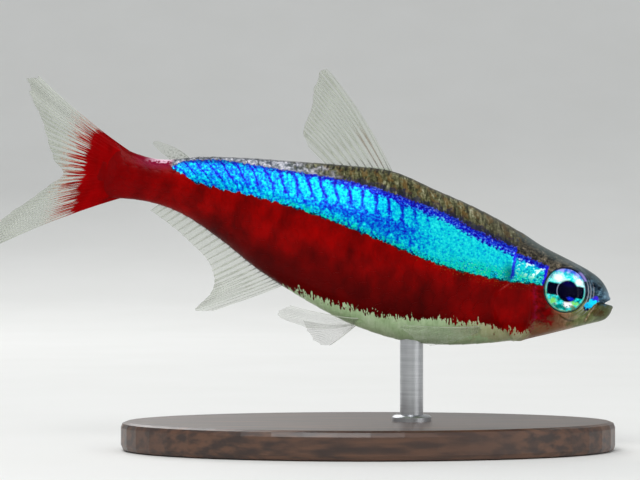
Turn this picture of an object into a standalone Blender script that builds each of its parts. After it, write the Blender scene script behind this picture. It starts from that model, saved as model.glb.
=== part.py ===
"""Cardinal tetra at life size, swimming nose down with its tail swung to its left, on a plain display stand.

Metres, +Z up, the head towards +X and the fish's left towards +Y. The origin is the centre of the stand's
underside. The fish is modelled in its own straight frame and pitched by an empty. In that frame "along" is the
distance behind the upper lip, "side" the distance from the midline, positive on the left, and "height" the
distance above the line from the lip to the root of the tail fin.
"""

import math

import bmesh
import bpy
from mathutils import Matrix, Vector

# Driving dimensions. Lengths of the fish are written in millimetres and turned into metres by MM.

MM = 0.001
WELD = 1e-6
GAP = 0.3
BODY_LENGTH = 35.0
SNOUT_TIP = -0.25
PITCH_DEG = 14.6
BEND_START = 12.0
BEND_OFFSET = 2.4

# Stations of the body: along, top of the back, bottom of the belly, half of the width.
STATIONS = (
    (SNOUT_TIP, -0.45, -0.45, 0.0),
    (0.0, 0.02, -1.18, 0.62),
    (0.3, 0.62, -1.43, 0.86),
    (1.0, 1.31, -1.80, 1.22),
    (2.0, 1.74, -2.35, 1.62),
    (3.2, 2.04, -3.00, 2.00),
    (5.5, 2.56, -4.15, 2.40),
    (7.5, 3.24, -4.92, 2.62),
    (10.5, 3.98, -5.80, 2.78),
    (13.5, 4.48, -6.22, 2.75),
    (16.8, 4.98, -6.00, 2.50),
    (20.0, 4.56, -5.28, 2.15),
    (24.0, 3.85, -4.00, 1.60),
    (27.0, 3.30, -2.67, 1.22),
    (30.0, 2.60, -1.62, 0.88),
    (32.5, 1.76, -1.38, 0.66),
    (BODY_LENGTH, 1.82, -1.75, 0.50),
)
# How square the cross-section is above and below its widest level: 2 is an ellipse, more is squarer.
SQUARENESS = (
    (SNOUT_TIP, 2.3, 2.3),
    (3.2, 2.5, 2.3),
    (8.0, 2.0, 2.1),
    (16.8, 1.8, 2.1),
    (24.0, 1.8, 1.8),
    (BODY_LENGTH, 2.0, 2.0),
)
BODY_RINGS = 48
RING_SIDES = 28
RING_CROWDING = 1.5

# Where the body is parted, as distances along it.
VENT = 21.6
PEDUNCLE_START = 32.0
# The free edge of the gill covers from nape to throat: height, along.
GILL_EDGE = (
    (4.5, 6.7),
    (1.5, 7.05),
    (0.3, 7.1),
    (-1.0, 7.5),
    (-2.1, 7.7),
    (-3.2, 7.15),
    (-4.1, 6.0),
    (-5.5, 4.6),
)
GILL_FRONT = 4.95
GILL_TOP = 1.3
GILL_BOTTOM = -3.55
GILL_DEPTH = 1.2
GILL_CORNER = 0.6
GILL_SWELL = 0.1

EYE_ALONG = 3.3
EYE_HEIGHT = -0.05
EYE_RADIUS = 1.45
EYE_HALF_THICKNESS = 0.85
EYE_BULGE = 0.30
EYE_TURN_DEG = 11.0

# The line of the mouth from its front to its corner and down behind the chin: along, height.
MOUTH_LINE = ((-0.8, -0.35), (0.4, -0.38), (0.85, -0.62), (1.15, -1.1), (1.35, -1.75), (1.5, -2.8))
# The beads of the lips from the corner of the mouth to its front: along, height.
UPPER_LIP = ((1.0, -0.2), (0.75, 0.0), (0.5, 0.08), (0.35, 0.1), (0.24, 0.1), (0.2, 0.1))
LOWER_LIP = ((0.8, -0.78), (0.5, -0.6), (0.2, -0.54), (0.02, -0.53), (-0.08, -0.53), (-0.12, -0.53))
LIP_RADIUS = 0.16
TUBE_SIDES = 8
NOSTRILS = ((0.95, 0.66), (1.28, 0.80))
NOSTRIL_RADIUS = 0.14

FIN_RAY = 0.7
FIN_MEMBRANE = 0.5
FIN_TIP = 0.3
MEDIAN_ROOT = 0.75
CAUDAL_ROOT = 0.9

# Fins on the midline: rays, rows of the mesh along a ray, where the first and the last ray leave the body.
DORSAL_FIN = dict(rays=11, rows=6, start=16.7, end=21.2)
ADIPOSE_FIN = dict(rays=3, rows=4, start=30.5, end=31.8)
ANAL_FIN = dict(rays=19, rows=5, start=22.1, end=31.6)
# Tips of the rays: share from the first ray to the last, along, height.
DORSAL_TIPS = (
    (0.0, 22.85, 10.60),
    (0.1, 23.30, 10.35),
    (0.5, 23.25, 7.90),
    (0.85, 23.25, 6.05),
    (1.0, 22.80, 5.30),
)
ADIPOSE_TIPS = ((0.0, 33.0, 2.95), (0.5, 33.3, 2.65), (1.0, 32.8, 2.30))
# The anal fin's rays: share from the first to the last, length, slope below the fish's axis in degrees.
ANAL_RAYS = (
    (0.0, 5.9, 33.0),
    (0.06, 5.4, 34.0),
    (0.12, 4.6, 35.0),
    (0.27, 2.6, 37.0),
    (0.42, 1.7, 40.0),
    (0.65, 1.35, 42.0),
    (0.85, 1.0, 42.0),
    (1.0, 0.6, 42.0),
)
CAUDAL_RAYS = 10
CAUDAL_ROWS = 7
CAUDAL_MIDDLE = 0.05
# Tips of each lobe's rays from its outer edge to the fork: share, along, height.
UPPER_TIPS = ((0.0, 42.2, 5.15), (0.12, 43.1, 4.85), (0.35, 42.2, 3.3), (0.65, 40.7, 1.3), (1.0, 39.1, -0.72))
LOWER_TIPS = ((0.0, 42.4, -7.4), (0.12, 43.3, -6.9), (0.35, 42.3, -5.0), (0.65, 40.7, -2.95), (1.0, 39.1, -1.08))
# Paired fins. The first and last roots are along and degrees round the body.
# The tips are share from the first ray to the last, along, side, height.
PAIRED_ROWS = 6
PAIRED_STEP_OUT = 0.3
PAIRED_SWEEP = 0.3
PELVIC_RAYS = 8
PELVIC_ROOTS = ((16.15, -62.0), (16.5, -80.0))
PELVIC_FOLDED = ((0.0, 21.3, 1.6, -5.9), (0.4, 21.75, 1.6, -6.35), (1.0, 20.3, 1.15, -7.0))
PELVIC_SPREAD = ((0.0, 18.3, 3.3, -7.95), (0.4, 19.2, 3.2, -7.85), (1.0, 20.2, 1.7, -6.6))
PECTORAL_RAYS = 10
PECTORAL_ROOTS = ((8.3, -41.0), (8.6, -54.0))
PECTORAL_TIPS = ((0.0, 13.7, 3.35, -5.1), (0.45, 13.3, 3.2, -5.5), (1.0, 11.7, 2.65, -5.9))

STAND_LENGTH = 0.034
STAND_WIDTH = 0.020
STAND_THICKNESS = 0.0020
STAND_BEVEL = 0.0004
STAND_SIDES = 48
ROD_RADIUS = 0.0008
ROD_SIDES = 20
ROD_X = 0.003
ROD_ALONG = 12.5
BELLY_CLEARANCE = 0.0052


# Curves and places on the body

def curve_through(points, column=1):
    """A smooth function through the points, read in their first column and valued in another one."""
    xs = [p[0] for p in points]
    ys = [p[column] for p in points]

    def slope(i):
        low, high = max(i - 1, 0), min(i + 1, len(xs) - 1)
        return (ys[high] - ys[low]) / (xs[high] - xs[low])

    def value(x):
        i = 0
        while i < len(xs) - 2 and x > xs[i + 1]:
            i += 1
        width = xs[i + 1] - xs[i]
        t = min(max((x - xs[i]) / width, 0.0), 1.0)
        start = (1 + 2 * t) * (1 - t) ** 2 * ys[i] + t * (1 - t) ** 2 * width * slope(i)
        end = t * t * (3 - 2 * t) * ys[i + 1] - t * t * (1 - t) * width * slope(i + 1)
        return start + end

    return value


def snout_measure(along):
    """The square root of the distance from the snout's tip, which makes the snout's rounding even."""
    return math.sqrt(max(along - SNOUT_TIP, 0.0))


BODY_CURVES = [
    curve_through([(snout_measure(row[0]), *row[1:]) for row in STATIONS], column)
    for column in (1, 2, 3)
]
SQUARE_CURVES = [curve_through(SQUARENESS, column) for column in (1, 2)]
gill_edge = curve_through(sorted(GILL_EDGE))


def body_at(along):
    """Top, bottom and half of the width of the body at a distance along it."""
    measure = snout_measure(along)
    return [curve(measure) for curve in BODY_CURVES]


def section_point(along, angle, swell=0.0):
    """Side and height of the skin at an angle round the body: 0 is its left side, a quarter turn its back."""
    top, bottom, half_width = body_at(along)
    across, up = math.cos(angle), math.sin(angle)
    squareness = SQUARE_CURVES[0 if up >= 0 else 1](along)
    power = 2 / squareness
    side = math.copysign(abs(across) ** power, across) * (half_width + swell)
    height = (top + bottom) / 2 + math.copysign(abs(up) ** power, up) * (top - bottom) / 2
    return side, height


def off_skin(along, angle, out):
    """A place at a distance outward from the skin, as (along, side, height)."""
    step = 0.01
    here = Vector((along, *section_point(along, angle)))
    round_body = Vector((along, *section_point(along, angle + step))) - here
    down_body = Vector((along + step, *section_point(along + step, angle))) - here
    outward = round_body.cross(down_body).normalized()
    if outward.y * here.y < 0:
        outward.negate()
    return here + outward * out


def half_width_at(along, height):
    """Half of the body's width at one height."""
    top, bottom, half_width = body_at(along)
    share = min(abs(height - (top + bottom) / 2) / ((top - bottom) / 2), 1.0)
    squareness = SQUARE_CURVES[0 if height > (top + bottom) / 2 else 1](along)
    return half_width * (1 - share**squareness) ** (1 / squareness)


def bend(along):
    """Offset to the left and slope of the midline, which is straight as far as BEND_START."""
    past = max(along - BEND_START, 0.0) / (BODY_LENGTH - BEND_START)
    return BEND_OFFSET * past**2, 2 * BEND_OFFSET * past / (BODY_LENGTH - BEND_START)


def place(along, side, height):
    """A point of the fish in its own frame, in metres, with the bend of the tail."""
    offset, slope = bend(along)
    turn = math.atan(slope)
    x = -along + side * math.sin(turn)
    return Vector((x, offset + side * math.cos(turn), height)) * MM


# Objects, materials and joins

def clear_scene():
    for old in list(bpy.data.objects):
        bpy.data.objects.remove(old, do_unlink=True)


def make_collection(name, hidden=False):
    made = bpy.data.collections.new(name)
    made.hide_render = hidden
    bpy.context.scene.collection.children.link(made)
    return made


def make_material(name, color, roughness, metallic=0.0, alpha=1.0):
    made = bpy.data.materials.new(name)
    made.use_nodes = True
    shader = made.node_tree.nodes["Principled BSDF"]
    shader.inputs["Base Color"].default_value = (*color, 1.0)
    shader.inputs["Roughness"].default_value = roughness
    shader.inputs["Metallic"].default_value = metallic
    shader.inputs["Alpha"].default_value = alpha
    return made


def make_object(name, mesh, collection, parent=None):
    made = bpy.data.objects.new(name, mesh)
    collection.objects.link(made)
    made.parent = parent
    return made


def finish_mesh(bm, name):
    """Writes the bmesh into a mesh with its faces pointing out."""
    bmesh.ops.recalc_face_normals(bm, faces=bm.faces)
    mesh = bpy.data.meshes.new(name)
    bm.to_mesh(mesh)
    bm.free()
    return mesh


def apply_modifiers(obj):
    """Replaces the object's mesh by what its modifiers make of it."""
    graph = bpy.context.evaluated_depsgraph_get()
    made = bpy.data.meshes.new_from_object(obj.evaluated_get(graph), depsgraph=graph)
    obj.modifiers.clear()
    obj.data = made


def keep_largest_surface(obj):
    """Drops every closed surface of the mesh but the one with the most faces."""
    bm = bmesh.new()
    bm.from_mesh(obj.data)
    left = set(bm.faces)
    surfaces = []
    while left:
        found, edge = set(), [left.pop()]
        while edge:
            face = edge.pop()
            found.add(face)
            near = {f for e in face.edges for f in e.link_faces} & left
            left -= near
            edge.extend(near)
        surfaces.append(found)
    surfaces.sort(key=len)
    for small in surfaces[:-1]:
        bmesh.ops.delete(bm, geom=list(small), context="FACES")
    bmesh.ops.triangulate(bm, faces=bm.faces)
    bmesh.ops.remove_doubles(bm, verts=bm.verts, dist=WELD)
    bm.to_mesh(obj.data)
    bm.free()


def combine(obj, others, operation):
    """Cuts, joins or intersects the object with others, one after another, and removes them."""
    for other in others:
        modifier = obj.modifiers.new(other.name, "BOOLEAN")
        modifier.operation = operation
        modifier.object = other
        modifier.solver = "EXACT"
    apply_modifiers(obj)
    for other in others:
        bpy.data.objects.remove(other, do_unlink=True)
    keep_largest_surface(obj)


# Solids of the body

def body_loft(name, start, end, collection, parent, swell=0.0):
    """The closed length of the body between two distances along it."""
    span = BODY_LENGTH - SNOUT_TIP
    rings = [SNOUT_TIP + span * (i / BODY_RINGS) ** RING_CROWDING for i in range(BODY_RINGS + 1)]
    alongs = [start] + [a for a in rings if start + GAP < a < end - GAP] + [end]
    bm = bmesh.new()
    loops = []
    for along in alongs:
        if along <= SNOUT_TIP:
            loops.append([bm.verts.new(place(along, 0.0, STATIONS[0][1]))] * RING_SIDES)
            continue
        points = [section_point(along, math.tau * k / RING_SIDES, swell) for k in range(RING_SIDES)]
        loops.append([bm.verts.new(place(along, side, height)) for side, height in points])
    for near, far in zip(loops, loops[1:]):
        for k in range(RING_SIDES):
            following = (k + 1) % RING_SIDES
            corners = [near[k], near[following], far[following], far[k]]
            bm.faces.new(list(dict.fromkeys(corners)))
    for loop in (loops[0], loops[-1]):
        if len(set(loop)) > 1:
            bm.faces.new(loop)
    bmesh.ops.triangulate(bm, faces=bm.faces)
    return make_object(name, finish_mesh(bm, name), collection, parent)


def prism(name, outline, side_from, side_to, collection, parent):
    """An outline of (along, height) points drawn out across the fish, for cutting the straight head."""
    bm = bmesh.new()
    face = bm.faces.new([bm.verts.new(place(a, side_from, h)) for a, h in outline])
    moved = bmesh.ops.extrude_face_region(bm, geom=[face])["geom"]
    shift = Vector((0.0, (side_to - side_from) * MM, 0.0))
    bmesh.ops.translate(bm, verts=[v for v in moved if isinstance(v, bmesh.types.BMVert)], vec=shift)
    return make_object(name, finish_mesh(bm, name), collection, parent)


def gill_outline(grow=0.0):
    """The outline behind which the trunk begins: everything ahead of the free edge of the gill covers."""
    heights = [4.8 - 0.45 * i for i in range(24)]
    edge = [(gill_edge(h) + grow, h) for h in heights]
    return [(SNOUT_TIP - 2.0, heights[0]), *edge, (SNOUT_TIP - 2.0, heights[-1])]


def cover_outline(grow=0.0):
    """The outline of one gill cover, with round corners ahead and its free edge behind."""
    points = []
    corners = ((GILL_FRONT - grow, GILL_TOP + grow, 90.0), (GILL_FRONT - grow, GILL_BOTTOM - grow, 180.0))
    for along, height, first in corners:
        up = 1 if first == 90.0 else -1
        centre = (along + GILL_CORNER, height - up * GILL_CORNER)
        for step in range(4):
            turn = math.radians(first + 30.0 * step)
            points.append((centre[0] + GILL_CORNER * math.cos(turn), centre[1] + GILL_CORNER * math.sin(turn)))
    steps = 8
    low, high = GILL_BOTTOM - grow, GILL_TOP + grow
    edge = [low + (high - low) * i / steps for i in range(steps + 1)]
    behind = 2.0 if grow else 0.0
    return points + [(gill_edge(h) + behind, h) for h in edge]


def mouth_outline(grow=0.0):
    """The outline of the lower jaw below the line of the mouth."""
    return [(a + grow, h + grow) for a, h in MOUTH_LINE] + [(MOUTH_LINE[0][0], MOUTH_LINE[-1][1])]


def tube(name, route, radius, collection, parent):
    """A round bead along a route of places in the fish's frame."""
    spots = [place(*spot) for spot in route]
    bm = bmesh.new()
    loops = []
    for i, spot in enumerate(spots):
        tangent = (spots[min(i + 1, len(spots) - 1)] - spots[max(i - 1, 0)]).normalized()
        outward = tangent.cross(Vector((0.0, 0.0, 1.0))).normalized()
        upward = outward.cross(tangent)
        loop = []
        for k in range(TUBE_SIDES):
            turn = math.tau * k / TUBE_SIDES
            loop.append(bm.verts.new(spot + radius * MM * (outward * math.cos(turn) + upward * math.sin(turn))))
        loops.append(loop)
    for near, far in zip(loops, loops[1:]):
        for k in range(TUBE_SIDES):
            following = (k + 1) % TUBE_SIDES
            bm.faces.new((near[k], near[following], far[following], far[k]))
    bm.faces.new(loops[0])
    bm.faces.new(loops[-1])
    return make_object(name, finish_mesh(bm, name), collection, parent)


def lip(name, line, collection, parent):
    """A bead along one lip, from one corner of the mouth round its front to the other."""
    right = [(along, -half_width_at(along, height), height) for along, height in line[:-1]]
    front = (line[-1][0], 0.0, line[-1][1])
    route = right + [front] + [(along, -side, height) for along, side, height in reversed(right)]
    return tube(name, route, LIP_RADIUS, collection, parent)


def ellipsoid(name, centre, radius, half_thickness, turn_deg, collection, parent, sides=24, rings=12):
    """A ball flattened across the fish and turned about the vertical."""
    bm = bmesh.new()
    bmesh.ops.create_uvsphere(bm, u_segments=sides, v_segments=rings, radius=radius * MM)
    tip_over = Matrix.Rotation(math.pi / 2, 4, "X")
    flatten = Matrix.Diagonal((1.0, half_thickness / radius, 1.0, 1.0))
    turn = Matrix.Rotation(math.radians(turn_deg), 4, "Z")
    bm.transform(Matrix.Translation(centre) @ turn @ flatten @ tip_over)
    return make_object(name, finish_mesh(bm, name), collection, parent)


def eye_centre(hand):
    outer = half_width_at(EYE_ALONG, EYE_HEIGHT) + EYE_BULGE
    return place(EYE_ALONG, hand * (outer - EYE_HALF_THICKNESS), EYE_HEIGHT)


def make_eyes(parts, parent):
    for hand, word in ((1, "left"), (-1, "right")):
        eye = ellipsoid(
            f"eye_{word}", eye_centre(hand), EYE_RADIUS, EYE_HALF_THICKNESS, -hand * EYE_TURN_DEG, parts, parent
        )
        eye.data.shade_smooth()
        eye.data.materials.append(MATERIALS["eye"])


def make_head(parts, cutters, parent):
    """The head ahead of the gill edge, less the sockets, the gill covers, the lower jaw and the nostrils."""
    head = body_loft("head", SNOUT_TIP, 9.0, parts, parent)
    combine(head, [prism("ahead", gill_outline(), -4.0, 4.0, cutters, parent)], "INTERSECT")
    cuts = [prism("mouth", mouth_outline(GAP), -3.0, 3.0, cutters, parent)]
    for hand in (1, -1):
        cuts.append(
            ellipsoid(
                "socket", eye_centre(hand), EYE_RADIUS + GAP, EYE_HALF_THICKNESS + GAP,
                -hand * EYE_TURN_DEG, cutters, parent,
            )
        )
        inner = hand * (half_width_at(6.0, -1.0) - GILL_DEPTH - GAP)
        cuts.append(prism("cover", cover_outline(GAP), inner, hand * 4.0, cutters, parent))
        for along, height in NOSTRILS:
            centre = place(along, hand * half_width_at(along, height), height)
            cuts.append(ellipsoid("nostril", centre, NOSTRIL_RADIUS, NOSTRIL_RADIUS, 0.0, cutters, parent, 10, 6))
    combine(head, cuts, "DIFFERENCE")
    combine(head, [lip("upper_lip", UPPER_LIP, cutters, parent)], "UNION")
    head.data.materials.append(MATERIALS["back"])


def make_lower_jaw(parts, cutters, parent):
    jaw = body_loft("lower_jaw", SNOUT_TIP, 4.0, parts, parent)
    combine(jaw, [prism("chin", mouth_outline(), -3.0, 3.0, cutters, parent)], "INTERSECT")
    combine(jaw, [lip("lower_lip", LOWER_LIP, cutters, parent)], "UNION")
    jaw.data.materials.append(MATERIALS["jaw"])


def make_gill_covers(parts, cutters, parent):
    for hand, word in ((1, "left"), (-1, "right")):
        cover = body_loft(f"gill_cover_{word}", 4.0, 9.0, parts, parent, GILL_SWELL)
        inner = hand * (half_width_at(6.0, -1.0) - GILL_DEPTH)
        combine(cover, [prism("plate", cover_outline(), inner, hand * 4.0, cutters, parent)], "INTERSECT")
        cover.data.materials.append(MATERIALS["flank"])


def make_trunk(parts, cutters, parent):
    abdomen = body_loft("abdomen", 4.5, VENT, parts, parent)
    combine(abdomen, [prism("head_room", gill_outline(GAP), -4.0, 4.0, cutters, parent)], "DIFFERENCE")
    rear = body_loft("tail_trunk", VENT + GAP, PEDUNCLE_START, parts, parent)
    peduncle = body_loft("caudal_peduncle", PEDUNCLE_START + GAP, BODY_LENGTH, parts, parent)
    for part in (abdomen, rear, peduncle):
        part.data.materials.append(MATERIALS["flank"])


# Fins

def fin(name, ray_count, rows, root, middle, tip, root_thickness, parts, parent):
    """A fin as one membrane with its rays as ridges in both faces.

    root(t), middle(t) and tip(t) are the (along, side, height) points of the curve that the ray at t follows,
    with t from 0 at the leading edge to 1 at the last ray. The middle point pulls the curve towards itself.
    """
    columns = [(0.0, 1.0)]
    spacing = 1.0 / (ray_count - 1)
    for ray in range(ray_count - 1):
        columns.append(((ray + 0.28) * spacing, 0.0))
        columns.append(((ray + 0.72) * spacing, 0.0))
        columns.append(((ray + 1.0) * spacing, 1.0))
    bm = bmesh.new()
    bmesh.ops.create_grid(bm, x_segments=len(columns) - 1, y_segments=rows - 1, size=1.0)
    weight = bm.verts.layers.deform.verify()
    thickest = max(root_thickness, FIN_RAY)
    for vert in bm.verts:
        t, ridge = columns[round((vert.co.x + 1) / 2 * (len(columns) - 1))]
        out = (vert.co.y + 1) / 2
        blade = FIN_RAY if ridge else FIN_MEMBRANE
        blade += (FIN_TIP - blade) * out**4
        near_root = max(0.0, 1 - out * 4)
        vert[weight][0] = (blade + (root_thickness - blade) * near_root) / thickest
        start, pull, end = Vector(root(t)), Vector(middle(t)), Vector(tip(t))
        vert.co = place(*((1 - out) ** 2 * start + 2 * out * (1 - out) * pull + out**2 * end))
    bmesh.ops.triangulate(bm, faces=bm.faces)
    mesh = bpy.data.meshes.new(name)
    bm.to_mesh(mesh)
    bm.free()
    made = make_object(name, mesh, parts, parent)
    made.vertex_groups.new(name="thickness")
    shell = made.modifiers.new("thickness", "SOLIDIFY")
    shell.thickness = thickest * MM
    shell.offset = 0.0
    shell.vertex_group = "thickness"
    mesh.materials.append(MATERIALS["fin"])
    return made


def bowed(root, tip, sweep):
    """The pull of a ray that starts at root(t), ends at tip(t) and bows upward by a share of its length."""

    def middle(t):
        start, end = Vector(root(t)), Vector(tip(t))
        return (start + end) / 2 + Vector((0.0, 0.0, 2 * sweep * (end - start).length * (1 - t)))

    return middle


def tips_through(points):
    along, height = curve_through(points, 1), curve_through(points, 2)
    return lambda t: (along(t), 0.0, height(t))


def median_fin(name, size, tip, sweep, parts, parent):
    """A fin on the midline of the back, or of the belly where its tips lie below."""
    edge, rise = (0, GAP) if tip(0.0)[2] > 0 else (1, -GAP)

    def root(t):
        along = size["start"] + (size["end"] - size["start"]) * t
        return along, 0.0, body_at(along)[edge] + rise

    fin(name, size["rays"], size["rows"], root, bowed(root, tip, sweep), tip, MEDIAN_ROOT, parts, parent)


def make_median_fins(parts, parent):
    median_fin("dorsal_fin", DORSAL_FIN, tips_through(DORSAL_TIPS), 0.045, parts, parent)
    median_fin("adipose_fin", ADIPOSE_FIN, tips_through(ADIPOSE_TIPS), 0.06, parts, parent)
    length, slope = curve_through(ANAL_RAYS, 1), curve_through(ANAL_RAYS, 2)

    def anal_tip(t):
        along = ANAL_FIN["start"] + (ANAL_FIN["end"] - ANAL_FIN["start"]) * t
        down = math.radians(slope(t))
        height = body_at(along)[1] - GAP - length(t) * math.sin(down)
        return along + length(t) * math.cos(down), 0.0, height

    median_fin("anal_fin", ANAL_FIN, anal_tip, 0.0, parts, parent)


def make_caudal_fin(parts, parent):
    """The two lobes of the forked tail fin, which meet along the fork's middle."""
    top, bottom, _ = body_at(BODY_LENGTH)
    for word, outer, hand, points in (("upper", top, 1, UPPER_TIPS), ("lower", bottom, -1, LOWER_TIPS)):
        inner = CAUDAL_MIDDLE + hand * GAP / 2
        tip = tips_through(points)

        def root(t, outer=outer, inner=inner):
            return BODY_LENGTH + GAP, 0.0, outer + (inner - outer) * t

        middle = bowed(root, tip, -0.02 * hand)
        fin(f"caudal_fin_{word}", CAUDAL_RAYS, CAUDAL_ROWS, root, middle, tip, CAUDAL_ROOT, parts, parent)


def paired_fin(name, hand, rays, roots, tips, parts, parent):
    """A fin that steps out from the side of the body and then sweeps back."""
    (first, first_deg), (last, last_deg) = roots
    curves = [curve_through(tips, column) for column in (1, 2, 3)]

    def off(t, out):
        angle = math.radians(first_deg + (last_deg - first_deg) * t)
        along, side, height = off_skin(first + (last - first) * t, angle, out)
        return along, hand * side, height

    def tip(t):
        along, side, height = [curve(t) for curve in curves]
        return along, hand * side, height

    def root(t):
        return off(t, GAP + FIN_RAY / 2)

    def middle(t):
        onward = Vector(tip(t)) - Vector(root(t))
        return Vector(off(t, GAP + FIN_RAY / 2 + PAIRED_STEP_OUT)) + onward * PAIRED_SWEEP

    fin(name, rays, PAIRED_ROWS, root, middle, tip, FIN_RAY, parts, parent)


def make_paired_fins(parts, parent):
    paired_fin("pelvic_fin_right", -1, PELVIC_RAYS, PELVIC_ROOTS, PELVIC_FOLDED, parts, parent)
    paired_fin("pelvic_fin_left", 1, PELVIC_RAYS, PELVIC_ROOTS, PELVIC_SPREAD, parts, parent)
    paired_fin("pectoral_fin_right", -1, PECTORAL_RAYS, PECTORAL_ROOTS, PECTORAL_TIPS, parts, parent)
    paired_fin("pectoral_fin_left", 1, PECTORAL_RAYS, PECTORAL_ROOTS, PECTORAL_TIPS, parts, parent)


# Stand

def make_stand(parts, fish_height):
    """An oval plate with a round rod that ends just under the belly."""
    bm = bmesh.new()
    bmesh.ops.create_cone(bm, cap_ends=True, segments=STAND_SIDES, radius1=0.5, radius2=0.5, depth=1.0)
    bmesh.ops.scale(bm, verts=bm.verts, vec=(STAND_LENGTH, STAND_WIDTH, STAND_THICKNESS))
    base = make_object("stand_base", finish_mesh(bm, "stand_base"), parts)
    base.location.z = STAND_THICKNESS / 2
    soften = base.modifiers.new("edges", "BEVEL")
    soften.width = STAND_BEVEL
    soften.segments = 2
    base.data.materials.append(MATERIALS["stand_base"])

    top = fish_height - GAP * MM
    foot = STAND_THICKNESS + GAP * MM
    bm = bmesh.new()
    bmesh.ops.create_cone(
        bm, cap_ends=True, segments=ROD_SIDES, radius1=ROD_RADIUS, radius2=ROD_RADIUS, depth=top - foot
    )
    rod = make_object("stand_rod", finish_mesh(bm, "stand_rod"), parts)
    rod.location = (ROD_X, 0.0, (top + foot) / 2)
    rod.data.materials.append(MATERIALS["stand_rod"])


def pose_fish(parent):
    """Pitches the fish nose down, with its belly over the rod. Returns the height of the belly over the rod."""
    pitch = Matrix.Rotation(math.radians(PITCH_DEG), 3, "Y")
    alongs = [6.0 + 0.1 * i for i in range(140)]
    belly = [pitch @ place(a, 0.0, body_at(a)[1]) for a in alongs]
    over_rod = pitch @ place(ROD_ALONG, 0.0, body_at(ROD_ALONG)[1])
    lift = STAND_THICKNESS + BELLY_CLEARANCE - min(p.z for p in belly)
    parent.rotation_euler = (0.0, math.radians(PITCH_DEG), 0.0)
    parent.location = (ROD_X - over_rod.x, 0.0, lift)
    reach = [p.z for p in belly if abs(p.x - over_rod.x) < ROD_RADIUS * 1.2]
    return min(reach) + lift


MATERIALS = {}


def make_materials():
    MATERIALS["back"] = make_material("back", (0.16, 0.14, 0.10), 0.45)
    MATERIALS["flank"] = make_material("flank", (0.55, 0.01, 0.01), 0.4)
    MATERIALS["jaw"] = make_material("jaw", (0.25, 0.24, 0.18), 0.4)
    MATERIALS["eye"] = make_material("eye", (0.10, 0.65, 0.75), 0.1, 0.6)
    MATERIALS["fin"] = make_material("fin", (0.75, 0.80, 0.72), 0.3, 0.0, 0.4)
    MATERIALS["stand_base"] = make_material("stand_base", (0.09, 0.045, 0.025), 0.35)
    MATERIALS["stand_rod"] = make_material("stand_rod", (0.6, 0.6, 0.62), 0.3, 1.0)


def main():
    clear_scene()
    make_materials()
    parts = make_collection("cardinal_tetra")
    cutters = make_collection("cutters", hidden=True)
    fish = make_object("fish_pose", None, parts)
    make_head(parts, cutters, fish)
    make_lower_jaw(parts, cutters, fish)
    make_gill_covers(parts, cutters, fish)
    make_eyes(parts, fish)
    make_trunk(parts, cutters, fish)
    make_median_fins(parts, fish)
    make_caudal_fin(parts, fish)
    make_paired_fins(parts, fish)
    make_stand(parts, pose_fish(fish))


main()
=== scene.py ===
"""Looks of the cardinal tetra and its stand.

One skin carries the mouth, nostrils, orbits and gill covers. Overlapping scales lie over it, and the fins,
eyes and stand are pieces of their own. Lengths of the fish are in millimetres in its own straight frame, as
in the part's source: "along" is the distance behind the upper lip, "side" the distance from the midline,
positive on the left, and "height" the distance above the line from the lip to the root of the tail fin.
"""

import math

import bpy
import numpy as np
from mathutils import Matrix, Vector

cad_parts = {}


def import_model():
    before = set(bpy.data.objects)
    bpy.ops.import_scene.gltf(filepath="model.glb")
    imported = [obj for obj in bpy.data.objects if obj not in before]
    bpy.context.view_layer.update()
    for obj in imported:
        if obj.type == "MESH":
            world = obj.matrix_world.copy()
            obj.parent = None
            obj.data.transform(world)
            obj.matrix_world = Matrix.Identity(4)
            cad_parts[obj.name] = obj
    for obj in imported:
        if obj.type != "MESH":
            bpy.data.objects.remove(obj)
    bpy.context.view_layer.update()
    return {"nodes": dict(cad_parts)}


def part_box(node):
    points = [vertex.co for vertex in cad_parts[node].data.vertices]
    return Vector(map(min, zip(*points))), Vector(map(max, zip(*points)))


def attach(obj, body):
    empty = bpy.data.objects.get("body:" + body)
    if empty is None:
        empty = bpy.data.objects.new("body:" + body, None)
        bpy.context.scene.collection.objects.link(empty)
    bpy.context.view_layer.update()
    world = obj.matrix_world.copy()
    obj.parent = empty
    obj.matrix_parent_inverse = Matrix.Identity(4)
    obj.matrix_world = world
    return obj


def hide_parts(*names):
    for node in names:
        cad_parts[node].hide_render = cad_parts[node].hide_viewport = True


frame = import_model()

MM = 0.001
SEED = 7

# The fish as the solids have it
BODY_LENGTH = 35.0
SNOUT_TIP = -0.25
PITCH = math.radians(14.6)
BEND_START = 12.0
BEND_OFFSET = 2.4
BELLY_CLEARANCE = 5.2
ROD_ALONG = 12.5

# Stations of the body: along, top of the back, bottom of the belly, half of the width. The last three lie
# inside the root of the tail fin.
STATIONS = (
    (SNOUT_TIP, -0.45, -0.45, 0.0),
    (0.0, 0.02, -1.18, 0.62),
    (0.3, 0.62, -1.43, 0.86),
    (1.0, 1.31, -1.80, 1.22),
    (2.0, 1.74, -2.35, 1.62),
    (3.2, 2.04, -3.00, 2.00),
    (5.5, 2.56, -4.15, 2.40),
    (7.5, 3.24, -4.92, 2.62),
    (10.5, 3.98, -5.80, 2.78),
    (13.5, 4.48, -6.22, 2.75),
    (16.8, 4.98, -6.00, 2.50),
    (20.0, 4.56, -5.28, 2.15),
    (24.0, 3.85, -4.00, 1.60),
    (27.0, 3.30, -2.67, 1.22),
    (30.0, 2.60, -1.62, 0.88),
    (32.5, 1.76, -1.38, 0.66),
    (BODY_LENGTH, 1.82, -1.75, 0.50),
    (35.7, 2.12, -2.2, 0.29),
    (36.3, 2.3, -2.45, 0.12),
    (36.8, 2.42, -2.6, 0.05),
)
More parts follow.
